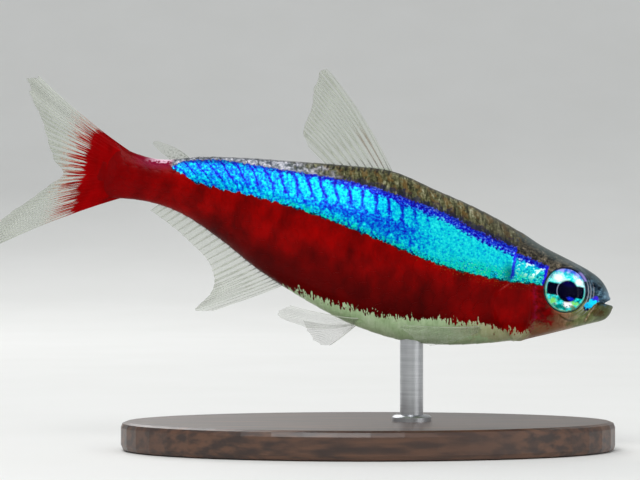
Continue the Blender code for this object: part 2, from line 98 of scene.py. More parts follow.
SQUARENESS = (
    (SNOUT_TIP, 2.3, 2.3),
    (3.2, 2.5, 2.3),
    (8.0, 2.0, 2.1),
    (16.8, 1.8, 2.1),
    (24.0, 1.8, 1.8),
    (BODY_LENGTH, 2.0, 2.0),
)
# The free edge of the gill covers from throat to nape: height, along.
GILL_EDGE = (
    (-5.5, 4.6),
    (-4.1, 6.0),
    (-3.2, 7.15),
    (-2.1, 7.73),
    (-1.3, 7.6),
    (-0.45, 6.98),
    (0.8, 7.08),
    (1.7, 7.1),
    (4.5, 6.7),
)
# The bony line ahead of the gill cover: height, along.
CHEEK_LINE = ((-4.4, 5.6), (-3.6, 4.95), (-2.2, 4.85), (-0.6, 5.3), (1.0, 5.5))
MOUTH_LINE = ((-0.8, 0.0), (0.3, -0.08), (0.75, -0.4), (1.1, -1.0), (1.32, -1.7))
NOSTRILS = ((0.95, 0.66), (1.28, 0.80))
SNOUT_SPOT = ((1.52, -0.82), (1.0, -0.1))
EYE_ALONG = 3.37
EYE_HEIGHT = -0.01
EYE_RADIUS = 1.5

# The photo's marks were measured on the middle plane, and the near side stands this far before the camera.
VIEW_DISTANCE = 183.4
VIEW_CENTRE = (20.6, -0.96)

# Edges of the markings: along, height.
STRIPE_TOP = (
    (7.1, 1.95),
    (9.85, 2.42),
    (12.9, 3.11),
    (17.3, 3.53),
    (20.1, 3.51),
    (24.3, 3.13),
    (28.4, 2.69),
    (30.6, 2.05),
    (31.4, 1.45),
)
STRIPE_BOTTOM = (
    (7.1, -0.5),
    (9.1, -0.6),
    (12.0, -0.55),
    (16.4, 0.07),
    (20.8, 0.63),
    (25.1, 0.79),
    (29.3, 0.68),
    (31.4, 1.25),
)
HEAD_STRIPE_TOP = ((4.6, 1.25), (7.1, 1.62))
HEAD_STRIPE_BOTTOM = ((4.6, -0.1), (7.1, -0.48))
STRIPE_END = 31.4
# How far the patches of the stripe lean back from bottom to top: along, slope.
STRIPE_LEAN = ((7.0, 0.2), (13.0, 0.32), (18.0, 0.45), (24.0, 0.65), (29.0, 1.2), (32.0, 1.4))
RED_EDGE = (
    (4.6, -3.3),
    (6.8, -3.77),
    (8.3, -3.68),
    (9.6, -4.1),
    (11.0, -4.1),
    (12.4, -4.5),
    (15.0, -4.86),
    (18.0, -4.9),
    (21.9, -4.75),
    (23.5, -6.0),
)

# Scales
SCALE_PITCH = 0.94
SCALE_ROW = 0.98
SCALE_DEPTH = 0.05
SCALE_LIFT = 0.055
SCALE_THICKNESS = 0.022
SCALE_ROUND = 24
SCALE_START = 6.6
# Half of a scale's length and height, counted in the scales' spacing, and the spread of turn, size and lift.
SCALE_REACH = (0.74, 0.64)
SCALE_SPREAD = (0.04, 0.03, 0.004)


# Curves and places

def curve_through(points, column=1):
    """A smooth function through the points, read in their first column and valued in another one."""
    xs = np.array([p[0] for p in points], float)
    ys = np.array([p[column] for p in points], float)
    order = np.arange(len(xs))
    low, high = np.maximum(order - 1, 0), np.minimum(order + 1, len(xs) - 1)
    slopes = (ys[high] - ys[low]) / (xs[high] - xs[low])

    def value(x):
        x = np.asarray(x, float)
        i = np.clip(np.searchsorted(xs, x, side="right") - 1, 0, len(xs) - 2)
        width = xs[i + 1] - xs[i]
        t = np.clip((x - xs[i]) / width, 0.0, 1.0)
        start = (1 + 2 * t) * (1 - t) ** 2 * ys[i] + t * (1 - t) ** 2 * width * slopes[i]
        end = t * t * (3 - 2 * t) * ys[i + 1] - t * t * (1 - t) * width * slopes[i + 1]
        return start + end

    return value


def snout_measure(along):
    return np.sqrt(np.maximum(np.asarray(along, float) - SNOUT_TIP, 0.0))


MEASURED_STATIONS = [(snout_measure(station[0]), *station[1:]) for station in STATIONS]
BODY_CURVES = [curve_through(MEASURED_STATIONS, column) for column in (1, 2, 3)]
SQUARE_ABOVE = curve_through(SQUARENESS, 1)
SQUARE_BELOW = curve_through(SQUARENESS, 2)
gill_edge = curve_through(GILL_EDGE)
cheek_line = curve_through(CHEEK_LINE)
stripe_top = curve_through(STRIPE_TOP)
stripe_bottom = curve_through(STRIPE_BOTTOM)
head_stripe_top = curve_through(HEAD_STRIPE_TOP)
head_stripe_bottom = curve_through(HEAD_STRIPE_BOTTOM)
red_edge = curve_through(RED_EDGE)
stripe_lean = curve_through(STRIPE_LEAN)


def body_at(along):
    """Top, bottom and half of the width of the body."""
    measure = snout_measure(along)
    return [curve(measure) for curve in BODY_CURVES]


def straight(along, angle, hand=1.0):
    """Points of the skin in the straight frame. The angle is 0 at the side and a quarter turn at the back."""
    along = np.asarray(along, float)
    top, bottom, half_width = body_at(along)
    across, up = np.cos(angle), np.sin(angle)
    power = 2 / np.where(up >= 0, SQUARE_ABOVE(along), SQUARE_BELOW(along))
    side = np.sign(across) * np.abs(across) ** power * half_width
    height = (top + bottom) / 2 + np.sign(up) * np.abs(up) ** power * (top - bottom) / 2
    return np.stack(np.broadcast_arrays(-along, side * hand, height), -1)


def outward(along, angle, hand=1.0):
    """Unit normals of the skin in the straight frame."""
    nudge = 0.02
    round_body = straight(along, angle + nudge, hand) - straight(along, angle - nudge, hand)
    down_body = straight(along + nudge, angle, hand) - straight(along - nudge, angle, hand)
    normal = np.cross(round_body, down_body)
    normal /= np.maximum(np.linalg.norm(normal, axis=-1, keepdims=True), 1e-9)
    core = straight(along + 0.6, math.pi / 2)
    core[..., 2] = (core[..., 2] + straight(along + 0.6, -math.pi / 2)[..., 2]) / 2
    outer = ((straight(along, angle, hand) - core) * normal).sum(-1, keepdims=True)
    return normal * np.where(outer < 0, -1.0, 1.0)


def make_arc_table(lengths=240, steps=96, fine=720):
    """The angles at even steps of arc from back to belly, and the arc's length, for places along the body."""
    measures = np.linspace(0.02, snout_measure(STATIONS[-1][0]), lengths)
    alongs = measures**2 + SNOUT_TIP
    angles = np.linspace(math.pi / 2, -math.pi / 2, fine)
    shares = np.linspace(0.0, 1.0, steps)
    table, arcs = [], []
    for along in alongs:
        spots = straight(along, angles)
        arc = np.concatenate([[0.0], np.cumsum(np.linalg.norm(np.diff(spots, axis=0), axis=1))])
        table.append(np.interp(shares * arc[-1], arc, angles))
        arcs.append(arc[-1])
    return measures, np.array(table), np.array(arcs)


ARC_MEASURES, ARC_ANGLES, ARC_LENGTHS = make_arc_table()


def arc_length(along):
    """Length of the skin's arc on one side, from the midline of the back to that of the belly."""
    return np.interp(snout_measure(along), ARC_MEASURES, ARC_LENGTHS)


def angle_at(along, share):
    """Angle of the skin at a share of the arc, 0 at the back and 1 at the belly."""
    row = np.interp(snout_measure(along), ARC_MEASURES, np.arange(len(ARC_MEASURES)))
    column = np.clip(share, 0.0, 1.0) * (ARC_ANGLES.shape[1] - 1)
    r = np.minimum(row.astype(int), ARC_ANGLES.shape[0] - 2)
    c = np.minimum(column.astype(int), ARC_ANGLES.shape[1] - 2)
    fr, fc = row - r, column - c
    near = ARC_ANGLES[r, c] * (1 - fc) + ARC_ANGLES[r, c + 1] * fc
    far = ARC_ANGLES[r + 1, c] * (1 - fc) + ARC_ANGLES[r + 1, c + 1] * fc
    return near * (1 - fr) + far * fr


def bent(spots):
    """Points of the straight frame with the bend of the tail."""
    along, side, height = -spots[..., 0], spots[..., 1], spots[..., 2]
    past = np.maximum(along - BEND_START, 0.0) / (BODY_LENGTH - BEND_START)
    turn = np.arctan(2 * BEND_OFFSET * past / (BODY_LENGTH - BEND_START))
    x = -along + side * np.sin(turn)
    return np.stack([x, BEND_OFFSET * past**2 + side * np.cos(turn), height], -1)


def pitched(spots):
    """The same points, in millimetres, once the fish is pitched nose down."""
    x, y, z = spots[..., 0], spots[..., 1], spots[..., 2]
    cos, sin = math.cos(PITCH), math.sin(PITCH)
    return np.stack([x * cos + z * sin, y, z * cos - x * sin], -1)


def fish_offset():
    """Where the straight frame's origin goes, in millimetres, so that the belly is over the rod."""
    low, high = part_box("stand_rod")
    base_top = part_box("stand_base")[1][2]
    belly = pitched(bent(straight(np.linspace(6.0, 19.9, 140), -math.pi / 2)))
    over_rod = pitched(bent(straight(ROD_ALONG, -math.pi / 2)))
    x = (low[0] + high[0]) / 2 / MM - over_rod[0]
    return np.array([x, 0.0, base_top / MM + BELLY_CLEARANCE - belly[:, 2].min()])


OFFSET = fish_offset()


def world(spots):
    """Points of the straight frame as places in the model, in metres."""
    return (pitched(bent(np.asarray(spots, float))) + OFFSET) * MM


def as_seen(spots):
    """Along and height at which the photo shows points of the near side, without the camera's perspective."""
    along, side, height = -spots[..., 0], np.abs(spots[..., 1]), spots[..., 2]
    past = np.maximum(along - BEND_START, 0.0) / (BODY_LENGTH - BEND_START)
    near = (side - BEND_OFFSET * past**2) / VIEW_DISTANCE
    level = VIEW_CENTRE[1] + math.tan(PITCH) * (VIEW_CENTRE[0] - along)
    return along - near * (VIEW_CENTRE[0] - along), height + near * (height - level)


def smooth(x, low, high):
    """0 below low, 1 above high and smooth between them. low may be the larger."""
    t = np.clip((x - low) / (high - low), 0.0, 1.0)
    return t * t * (3 - 2 * t)


def to_line(points, along, height):
    """Distance to a line through the points, and the share of the line that lies before the nearest place."""
    best = np.full(np.shape(along), 1e9)
    share = np.zeros(np.shape(along))
    for i, (start, end) in enumerate(zip(points, points[1:])):
        run = (end[0] - start[0], end[1] - start[1])
        t = ((along - start[0]) * run[0] + (height - start[1]) * run[1]) / (run[0] ** 2 + run[1] ** 2)
        t = np.clip(t, 0.0, 1.0)
        away = np.hypot(along - start[0] - t * run[0], height - start[1] - t * run[1])
        share = np.where(away < best, (i + t) / (len(points) - 1), share)
        best = np.minimum(best, away)
    return best, share


def bump(x, width):
    return np.exp(-((x / width) ** 2))


# Meshes and attributes

def make_piece(name, places, faces, material):
    """A mesh object that rides on the model's one body. The places are in metres."""
    mesh = bpy.data.meshes.new(name)
    mesh.from_pydata(np.asarray(places).reshape(-1, 3).tolist(), [], faces)
    mesh.validate()
    mesh.shade_smooth()
    piece = bpy.data.objects.new(name, mesh)
    bpy.context.scene.collection.objects.link(piece)
    mesh.materials.append(material)
    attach(piece, "root")
    return piece


def write_attribute(piece, name, values):
    layer = piece.data.attributes.new(name, "FLOAT_VECTOR", "POINT")
    layer.data.foreach_set("vector", np.asarray(values, np.float32).reshape(-1))


def grid_faces(rows, columns, wrap=False):
    """Quads of a grid of points, stored row by row. A wrapped grid joins its last column to its first."""
    quads = []
    for r in range(rows - 1):
        for c in range(columns if wrap else columns - 1):
            n = (c + 1) % columns
            quads.append((r * columns + c, r * columns + n, (r + 1) * columns + n, (r + 1) * columns + c))
    return quads


def write_markings(piece, spots):
    """Stores each point's place on the fish, and where it lies among the markings, for the materials."""
    along, height = as_seen(spots)
    behind = along - gill_edge(height)
    top = np.where(behind < 0, head_stripe_top(along), stripe_top(along))
    bottom = np.where(behind < 0, head_stripe_bottom(along), stripe_bottom(along))
    middle = (stripe_top(along) + stripe_bottom(along)) / 2
    lean = stripe_lean(along) * (height - middle)
    inside = (along > 4.4) & (along < STRIPE_END + 0.3)
    write_attribute(piece, "place", np.stack([along, height, spots[..., 1]], -1))
    zones = [along - cheek_line(height), height - red_edge(along), behind]
    write_attribute(piece, "zones", np.stack(zones, -1))
    stripe = [(along - lean) / SCALE_PITCH, np.where(inside, height - bottom, -2.0), top - height]
    write_attribute(piece, "stripe", np.stack(stripe, -1))
    spot = to_line(SNOUT_SPOT, along, height)[0]
    maxilla = to_line(MOUTH_LINE[2:], along, height)[0]
    below_back = body_at(-spots[..., 0])[0] - spots[..., 2]
    write_attribute(piece, "face", np.stack([spot, below_back, maxilla], -1))
    orbit = np.full(spots.shape, 9.0)
    for hand, (centre, back, up, _) in EYES.items():
        local = spots - centre
        a, b = local @ back, local @ up
        near = (spots[..., 1] * hand > 0) & (np.hypot(a, b) < 3.0)
        orbit[near] = np.stack([a, b, np.hypot(a, b)], -1)[near]
    write_attribute(piece, "orbit", orbit)


# Skin

# The grid of the skin: rows ahead of and behind a place along the body, how much the front ones crowd towards
# the snout, and steps from back to belly.
SKIN_SPLIT = 9.4
FRONT_ROWS = 195
REAR_ROWS = 109
FRONT_CROWDING = 1.35
SKIN_STEPS = 142


def eye_frame(hand):
    """Centre and axes of an eye in the straight frame: backwards, up and outwards."""
    angles = np.linspace(-0.6, 0.6, 200)
    heights = straight(EYE_ALONG, angles)[:, 2]
    angle = float(np.interp(EYE_HEIGHT, heights, angles))
    centre = straight(EYE_ALONG, angle, hand)
    out = outward(np.float64(EYE_ALONG), angle, hand)
    out = out + np.array([0.0, 0.0, 0.08])
    out /= np.linalg.norm(out)
    back = np.array([-1.0, 0.0, 0.0])
    back = back - out * (back @ out)
    back /= np.linalg.norm(back)
    up = np.cross(out, back) * (1 if np.cross(out, back)[2] > 0 else -1)
    return centre, back, up, out


EYES = {hand: eye_frame(hand) for hand in (1, -1)}
ORBIT_RIM = 1.56
ORBIT_BLEND = 2.2
SOCKET_DEPTH = 1.0


def relief(along, height, share_down):
    """Height of the modelled detail of the head above the plain body, in millimetres."""
    edge = along - gill_edge(height)
    open_gill = smooth(height, 2.1, 1.4)
    flap = smooth(edge, -2.4, -0.2) * smooth(edge, 0.1, -0.1)
    slit = bump(edge - 0.15, 0.18)
    rise = open_gill * (0.06 * flap - 0.02 * slit)

    cheek = along - cheek_line(height)
    on_cheek = smooth(height, 1.2, 0.4) * smooth(height, -4.6, -4.0)
    rise += on_cheek * (0.035 * bump(cheek, 0.12) - 0.045 * bump(cheek - 0.2, 0.08))

    away, share = to_line(MOUTH_LINE, along, height)
    opening = 0.13 - 0.09 * smooth(share, 0.2, 0.75)
    depth = 0.42 - 0.34 * smooth(share, 0.2, 0.8)
    fading = smooth(share, 1.0, 0.9)
    rise -= fading * depth * smooth(away, opening + 0.05, opening - 0.05)
    rise += fading * 0.055 * bump(away - opening - 0.15, 0.1)
    rise += 0.03 * bump(away - 0.34, 0.08) * smooth(share, 0.35, 0.6) * smooth(height, -1.9, -1.6)

    for spot_along, spot_height in NOSTRILS:
        away = np.hypot(along - spot_along, height - spot_height)
        rise += 0.03 * bump(away - 0.17, 0.05) - 0.16 * smooth(away, 0.13, 0.05)

    isthmus = np.abs(share_down - 0.93)
    rise -= 0.05 * bump(isthmus, 0.012) * smooth(along, 1.6, 2.4) * smooth(edge, 0.0, -0.4)
    inset = smooth(edge, 0.0, 0.6)
    return rise - SCALE_DEPTH * inset


def shape_orbits(spots, hand_of):
    """Brings the skin round each eye into one rim, with the socket sunk inside it."""
    for hand, (centre, back, up, out) in EYES.items():
        local = spots - centre
        a, b, c = local @ back, local @ up, local @ out
        away = np.hypot(a, b)
        near = (hand_of == hand) & (away < ORBIT_BLEND) & (c > -2.0)
        blend = smooth(away, ORBIT_BLEND, ORBIT_RIM) * near
        rim = 0.05 * bump(away - ORBIT_RIM - 0.06, 0.07)
        rings = 0.02 * np.cos((away - 1.62) * 29.0) * bump(away - 1.85, 0.25) * smooth(a, 0.4, -0.6)
        level = rim + rings - SOCKET_DEPTH * smooth(away, ORBIT_RIM, ORBIT_RIM - 0.22)
        spots = spots + (blend * (level - c))[..., None] * out
    return spots


def make_skin(material):
    """The whole of the flesh as one closed surface, finest at the head."""
    front = SNOUT_TIP + SKIN_SPLIT * np.linspace(0.0, 1.0, FRONT_ROWS + 1)[1:] ** FRONT_CROWDING
    rear = np.linspace(front[-1], STATIONS[-1][0], REAR_ROWS + 1)[1:]
    alongs = np.concatenate([front, rear])
    down = np.linspace(0, 1, SKIN_STEPS + 1)
    shares = np.concatenate([down, np.linspace(1, 0, SKIN_STEPS + 1)[1:-1]])
    hands = np.where(np.arange(2 * SKIN_STEPS) <= SKIN_STEPS, 1.0, -1.0)
    along, share = np.meshgrid(alongs, shares, indexing="ij")
    hand = np.broadcast_to(hands, along.shape)
    angle = angle_at(along, share)
    spots = straight(along, angle, 1.0)
    normals = outward(along, angle, 1.0)
    lift = relief(*as_seen(spots), share)
    spots = spots + normals * lift[..., None]
    spots[..., 1] *= hand
    marked = np.stack([-along, spots[..., 1], straight(along, angle)[..., 2]], -1)
    spots = shape_orbits(spots, hand)

    rows, columns = along.shape
    faces = grid_faces(rows, columns, wrap=True)
    tip = np.array([[-SNOUT_TIP, 0.0, STATIONS[0][1]]])
    tail = np.array([[-alongs[-1] - 0.03, 0.0, (STATIONS[-1][1] + STATIONS[-1][2]) / 2]])
    last = (rows - 1) * columns
    first_point, last_point = rows * columns, rows * columns + 1
    for c in range(columns):
        n = (c + 1) % columns
        faces.append((first_point, n, c))
        faces.append((last_point, last + c, last + n))
    spots = np.concatenate([spots.reshape(-1, 3), tip, tail])
    marked = np.concatenate([marked.reshape(-1, 3), tip, tail])
    skin = make_piece("skin", world(spots), faces, material)
    write_markings(skin, marked)
    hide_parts("head", "lower_jaw", "gill_cover_left", "gill_cover_right")
    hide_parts("abdomen", "tail_trunk", "caudal_peduncle")
    return skin


# Scales

def scale_centres():
    """Each scale's middle as along and share of the arc, and its spacing in both, row by row."""
    centres = []
    rows = range(-9, 10)
    for row in rows:
        along = SCALE_START + (0.5 if row % 2 else 0.0) * SCALE_PITCH
        while along < BODY_LENGTH + 0.5:
            arc = float(arc_length(along))
            narrow = (arc / ARC_LENGTHS.max()) ** 0.55
            pitch = SCALE_PITCH * (0.72 + 0.28 * narrow)
            tall = SCALE_ROW * narrow
            share = 0.5 + row * tall / arc
            if -0.3 * tall / arc < share < 1 + 0.3 * tall / arc:
                centres.append((along, share, pitch, tall / arc))
            along += pitch
    return np.array(centres)


def scale_plate():
    """One scale seen from above: points (a, b) from -1 to 1, with rings out to its rim, and its faces."""
    rings = (0.0, 0.45, 0.8, 1.0)
    turns = np.linspace(0.0, 2 * math.pi, SCALE_ROUND, endpoint=False)
    points = [(0.0, 0.0)]
    for ring in rings[1:]:
        for turn in turns:
            across = math.copysign(abs(math.sin(turn)) ** 0.8, math.sin(turn))
            points.append((ring * math.cos(turn), ring * across))
    return np.array(points), rings


def make_scales(hand, word, material, rng):
    """The scales of one side as one joined mesh of thin plates, each lifted at its rear edge."""
    centres = scale_centres()
    plate, rings = scale_plate()
    count, size = len(centres), len(plate)
    along0, share0, pitch, tall = [centres[:, i, None] for i in range(4)]
    turn = rng.normal(0.0, SCALE_SPREAD[0], (count, 1))
    grow = 1 + rng.normal(0.0, SCALE_SPREAD[1], (count, 1))
    a = plate[:, 0] * np.cos(turn) - plate[:, 1] * np.sin(turn)
    b = plate[:, 0] * np.sin(turn) + plate[:, 1] * np.cos(turn)
    along = along0 + a * SCALE_REACH[0] * pitch * grow
    share = share0 + b * SCALE_REACH[1] * tall * grow
    slope = (plate[:, 0] + 1) / 2
    rise = SCALE_LIFT + 0.02 + rng.normal(0.0, SCALE_SPREAD[2], (count, 1))
    lift = -SCALE_DEPTH - 0.02 + rise * slope**1.2
    lift = lift - 0.012 * np.abs(plate[:, 1]) ** 3
    lift = -SCALE_DEPTH + (lift + SCALE_DEPTH) * (0.35 + 0.65 * smooth(np.abs(share0 - 0.5), 0.5, 0.38))

    heights = straight(along, angle_at(along, np.clip(share, 0, 1)))[..., 2]
    keep = (along0 - gill_edge(heights[:, :1]) > 0.45) & (np.abs(share0 - 0.5) < 0.56)
    keep = keep[:, 0]
    spots_top = scale_spots(along, share, hand, lift)[keep]
    spots_low = scale_spots(along, share, hand, lift - SCALE_THICKNESS)[keep]

    faces = []
    for piece in range(int(keep.sum())):
        top, low = piece * 2 * size, piece * 2 * size + size
        faces += plate_faces(top, len(rings), False)
        faces += plate_faces(low, len(rings), True)
        rim = 1 + (len(rings) - 2) * SCALE_ROUND
        for k in range(SCALE_ROUND):
            n = (k + 1) % SCALE_ROUND
            faces.append((top + rim + k, low + rim + k, low + rim + n, top + rim + n))
    spots = np.stack([spots_top, spots_low], 1)
    if hand > 0:
        faces = [tuple(reversed(face)) for face in faces]
    scales = make_piece(f"scales_{word}", world(spots), faces, material)
    scales.data.set_sharp_from_angle(angle=math.radians(50))
    marked = scale_spots(along, share, hand, 0.0)[keep]
    write_markings(scales, np.stack([marked, marked], 1))
    write_bake_map(scales, centres[keep], plate)
    return scales


def scale_spots(along, share, hand, lift):
    """Places over the skin, also past the midlines of back and belly, where the side changes."""
    folded = np.where(share < 0, -share, np.where(share > 1, 2 - share, share))
    side = np.where((share < 0) | (share > 1), -1.0, 1.0) * hand
    angle = angle_at(along, folded)
    spots = straight(along, angle, 1.0) + outward(along, angle, 1.0) * np.asarray(lift)[..., None]
    spots[..., 1] *= side
    return spots


def plate_faces(start, rings, flipped):
    """Faces of one side of a plate: a fan at its middle and rings of quads round it."""
    faces = []
    for k in range(SCALE_ROUND):
        n = (k + 1) % SCALE_ROUND
        faces.append((start, start + 1 + k, start + 1 + n))
        for ring in range(rings - 2):
            near, far = start + 1 + ring * SCALE_ROUND, start + 1 + (ring + 1) * SCALE_ROUND
            faces.append((near + k, far + k, far + n, near + n))
    return [tuple(reversed(face)) for face in faces] if flipped else faces


def write_bake_map(scales, centres, plate):
    """Lays each scale as a small patch at its own place on an unwrap of the skin, length by arc."""
    length = STATIONS[-1][0] - SNOUT_TIP
    middle = np.stack([(centres[:, 0] - SNOUT_TIP) / length, 0.04 + 0.92 * centres[:, 1]], -1)
    reach = np.stack([0.47 * centres[:, 2] / length, 0.44 * centres[:, 3]], -1)
    spots = middle[:, None, :] + plate[None] * reach[:, None, :]
    spots = np.stack([spots, spots], 1).reshape(-1, 2)
    layer = scales.data.uv_layers.new(name="OFBake")
    corners = np.empty(len(scales.data.loops), np.int32)
    scales.data.loops.foreach_get("vertex_index", corners)
    layer.data.foreach_set("uv", spots[corners].astype(np.float32).reshape(-1))


# Fins

FIN_COLUMNS = 16
RAY_SIZE = 0.07
MEMBRANE_SIZE = 0.03
# Where a ray starts to part and is fully parted, as shares of its length, and how far its branches then stand
# from its middle, counted in rays.
FIRST_FORK = (0.1, 0.6, 0.25)
SECOND_FORK = (0.6, 1.1, 0.125)

DORSAL_ROOT = ((0.0, 16.65), (1.0, 21.2))
DORSAL_TIPS = (
    (0.0, 22.6, 10.4),
    (0.07, 23.0, 10.68),
    (0.15, 23.35, 10.1),
    (0.5, 23.25, 7.9),
    (0.85, 23.3, 6.0),
    (1.0, 22.8, 5.15),
)
ANAL_ROOT = ((0.0, 22.0), (1.0, 31.75))
ANAL_RAYS = (
    (0.0, 5.2, 33.0),
    (0.05, 5.95, 33.0),
    (0.11, 5.0, 34.5),
    (0.17, 3.8, 35.5),
    (0.27, 2.7, 37.0),
    (0.42, 1.85, 40.0),
    (0.65, 1.45, 42.0),
    (0.85, 1.15, 42.0),
    (1.0, 0.75, 42.0),
)
ADIPOSE_ROOT = ((0.0, 30.5), (1.0, 31.75))
ADIPOSE_TIPS = ((0.0, 32.3, 2.85), (0.3, 33.1, 2.9), (0.65, 33.3, 2.65), (1.0, 32.6, 2.2))
CAUDAL_TIPS = (
    (0.0, 42.5, 5.3),
    (0.05, 43.15, 4.95),
    (0.12, 42.7, 4.1),
    (0.28, 41.1, 1.85),
    (0.42, 39.7, -0.1),
    (0.5, 39.0, -0.95),
    (0.58, 39.6, -1.9),
    (0.72, 41.1, -3.6),
    (0.88, 42.9, -5.9),
    (0.95, 43.45, -7.1),
    (1.0, 42.9, -7.5),
)
PELVIC_ROOTS = ((16.15, -62.0), (16.5, -80.0))
PELVIC_FOLDED = (
    (0.0, 21.0, 1.6, -5.75),
    (0.35, 21.75, 1.6, -6.25),
    (0.6, 21.6, 1.5, -6.7),
    (1.0, 19.6, 1.15, -6.95),
)
PELVIC_SPREAD = (
    (0.0, 18.0, 3.2, -7.85),
    (0.3, 18.8, 3.25, -7.98),
    (0.6, 19.5, 3.0, -7.6),
    (1.0, 20.2, 1.7, -6.6),
)
PECTORAL_ROOTS = ((8.0, -43.0), (8.2, -51.0))
PECTORAL_TIPS = (
    (0.0, 13.6, 3.3, -5.05),
    (0.35, 13.4, 3.2, -5.35),
    (0.7, 12.5, 3.0, -5.75),
    (1.0, 11.3, 2.6, -5.95),
)


def evenly(share):
    return share


def to_the_front(share):
    """Rays that stand closer together near the first one."""
    return share**1.3


def to_both_edges(share):
    return share - 0.07 * np.sin(2 * math.pi * share)


def ray_distance(x, out, branched):
    """Distance from the nearest branch of a ray, counted in rays across the fin. A ray forks in four."""
    away = np.abs(x - np.round(x))
    away = np.abs(away - branched * FIRST_FORK[2] * smooth(out, *FIRST_FORK[:2]))
    return np.abs(away - branched * SECOND_FORK[2] * smooth(out, *SECOND_FORK[:2]))


def make_fin(
    name,
    node,
    rays,
    rows,
    root,
    middle,
    tip,
    material,
    unbranched=1,
    root_size=0.3,
    ripple=0.0,
    fray=0.02,
    root_reach=0.09,
    crowding=evenly,
):
    """A thin fin with rays that fork towards its edge, as one closed surface.

    root(t), middle(t) and tip(t) give arrays of along, side and height for shares t from first ray to last.
    """
    columns = (rays - 1) * FIN_COLUMNS + 1
    out, even = np.meshgrid(np.linspace(0.0, 1.0, rows), np.linspace(0.0, 1.0, columns), indexing="ij")
    x, share = even * (rays - 1), crowding(even)
    start, pull, end = [np.stack(f(share), -1) for f in (root, middle, tip)]
    length = np.linalg.norm(end - start, axis=-1)
    branched = (np.round(x) >= unbranched) * smooth(length, 1.8, 4.0)
    ray = bump(ray_distance(x, out, branched), 0.1 - 0.03 * out)
    rng = np.random.default_rng(SEED + len(name))
    ends = 1 + rng.normal(0.0, fray / 2, rays)
    notch = 1 - 0.6 * fray * (2 * np.abs(x - np.round(x))) ** 2
    reach = out * (1 + (np.interp(x, np.arange(rays), ends) - 1 + notch - 1) * out)
    r = reach[..., None]
    spots = (1 - r) ** 2 * start + 2 * r * (1 - r) * pull + r**2 * end
    spots[..., 1] += ripple * np.sin(x * 1.9 + out * 2.0) * out**1.5
    line = np.stack([-spots[..., 0], spots[..., 1], spots[..., 2]], -1)

    wide = np.gradient(line, axis=1)
    long = np.gradient(line, axis=0)
    normal = np.cross(wide, long)
    normal /= np.maximum(np.linalg.norm(normal, axis=-1, keepdims=True), 1e-9)
    size = MEMBRANE_SIZE + (RAY_SIZE * (1 - 0.55 * out) - MEMBRANE_SIZE * 0.4) * ray
    at_root = smooth(out, root_reach, 0.0) * smooth(share, 0.0, 0.1) * smooth(share, 1.0, 0.9)
    size = size + (root_size - size) * at_root
    size = size * (1 - 0.5 * smooth(out, 0.94, 1.0))
    half = (size / 2)[..., None] * normal
    both = np.stack([line + half, line - half])

    layer = rows * columns
    front = grid_faces(rows, columns)
    faces = front + [tuple(layer + v for v in reversed(face)) for face in front]
    rim = list(range(columns))
    rim += [r * columns + columns - 1 for r in range(1, rows)]
    rim += [(rows - 1) * columns + c for c in range(columns - 2, -1, -1)]
    rim += [r * columns for r in range(rows - 2, 0, -1)]
    for here, there in zip(rim, rim[1:] + rim[:1]):
        faces.append((there, here, layer + here, layer + there))
    fin = make_piece(name, world(both), faces, material)
    write_attribute(fin, "fin", np.stack([np.stack([x, out, branched], -1)] * 2))
    write_attribute(fin, "place", np.stack([spots[..., (0, 2, 1)]] * 2))
    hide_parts(*([node] if isinstance(node, str) else node))
    return fin


def line_of(points):
    """The straight or smooth line through (share, along, height) points, on the midline."""
    along, height = curve_through(points, 1), curve_through(points, 2)
    return lambda t: (along(t), np.zeros_like(t), height(t))


def midline_root(points, edge, sink):
    along = curve_through(points, 1)
    return lambda t: (along(t), np.zeros_like(t), body_at(along(t))[edge] - sink)


def bowed(root, tip, bow):
    """The pull of rays that bow upward by a share of their length, less so towards the last ray."""

    def middle(t):
        start, end = [np.stack(f(t)) for f in (root, tip)]
        length = np.linalg.norm(end - start, axis=0)
        pull = (start + end) / 2
        pull[2] += 2 * bow * length * (1 - t)
        return tuple(pull)

    return middle


def make_median_fins(material, flap):
    root, tip = midline_root(DORSAL_ROOT, 0, 0.15), line_of(DORSAL_TIPS)
    bend = bowed(root, tip, 0.045)
    crowded = {"ripple": 0.05, "crowding": to_the_front}
    make_fin("dorsal_rays", "dorsal_fin", 11, 60, root, bend, tip, material, 2, 0.4, **crowded)
    root, tip = midline_root(ADIPOSE_ROOT, 0, 0.12), line_of(ADIPOSE_TIPS)
    bend = bowed(root, tip, 0.05)
    make_fin("adipose_flap", "adipose_fin", 4, 24, root, bend, tip, flap, unbranched=9, fray=0.0)
    root = midline_root(ANAL_ROOT, 1, -0.15)
    length, slope = curve_through(ANAL_RAYS, 1), curve_through(ANAL_RAYS, 2)

    def anal_tip(t):
        along, side, height = root(t)
        down = np.radians(slope(t))
        return along + length(t) * np.cos(down), side, height - 0.15 - length(t) * np.sin(down)

    bend = bowed(root, anal_tip, -0.01)
    make_fin("anal_rays", "anal_fin", 24, 48, root, bend, anal_tip, material, 3, 0.35, **crowded)


def make_caudal_fin(material):
    """The whole forked fan, rooted across the end of the body."""
    tip = line_of(CAUDAL_TIPS)

    def root(t):
        along = BODY_LENGTH + 0.1 - 0.7 * np.abs(2 * t - 1) ** 2
        upper, lower, _ = body_at(along)
        return along, np.zeros_like(t), upper - 0.12 + (lower - upper + 0.24) * t

    def middle(t):
        start, end = [np.stack(f(t)) for f in (root, tip)]
        pull = (start + end) / 2
        pull[2] -= 0.05 * np.linalg.norm(end - start, axis=0) * (1 - 2 * t)
        return tuple(pull)

    lobes = ("caudal_fin_upper", "caudal_fin_lower")
    edges = {"ripple": 0.07, "fray": 0.03, "root_reach": 0.5, "crowding": to_both_edges}
    make_fin("caudal_rays", lobes, 21, 84, root, middle, tip, material, root_size=0.4, **edges)


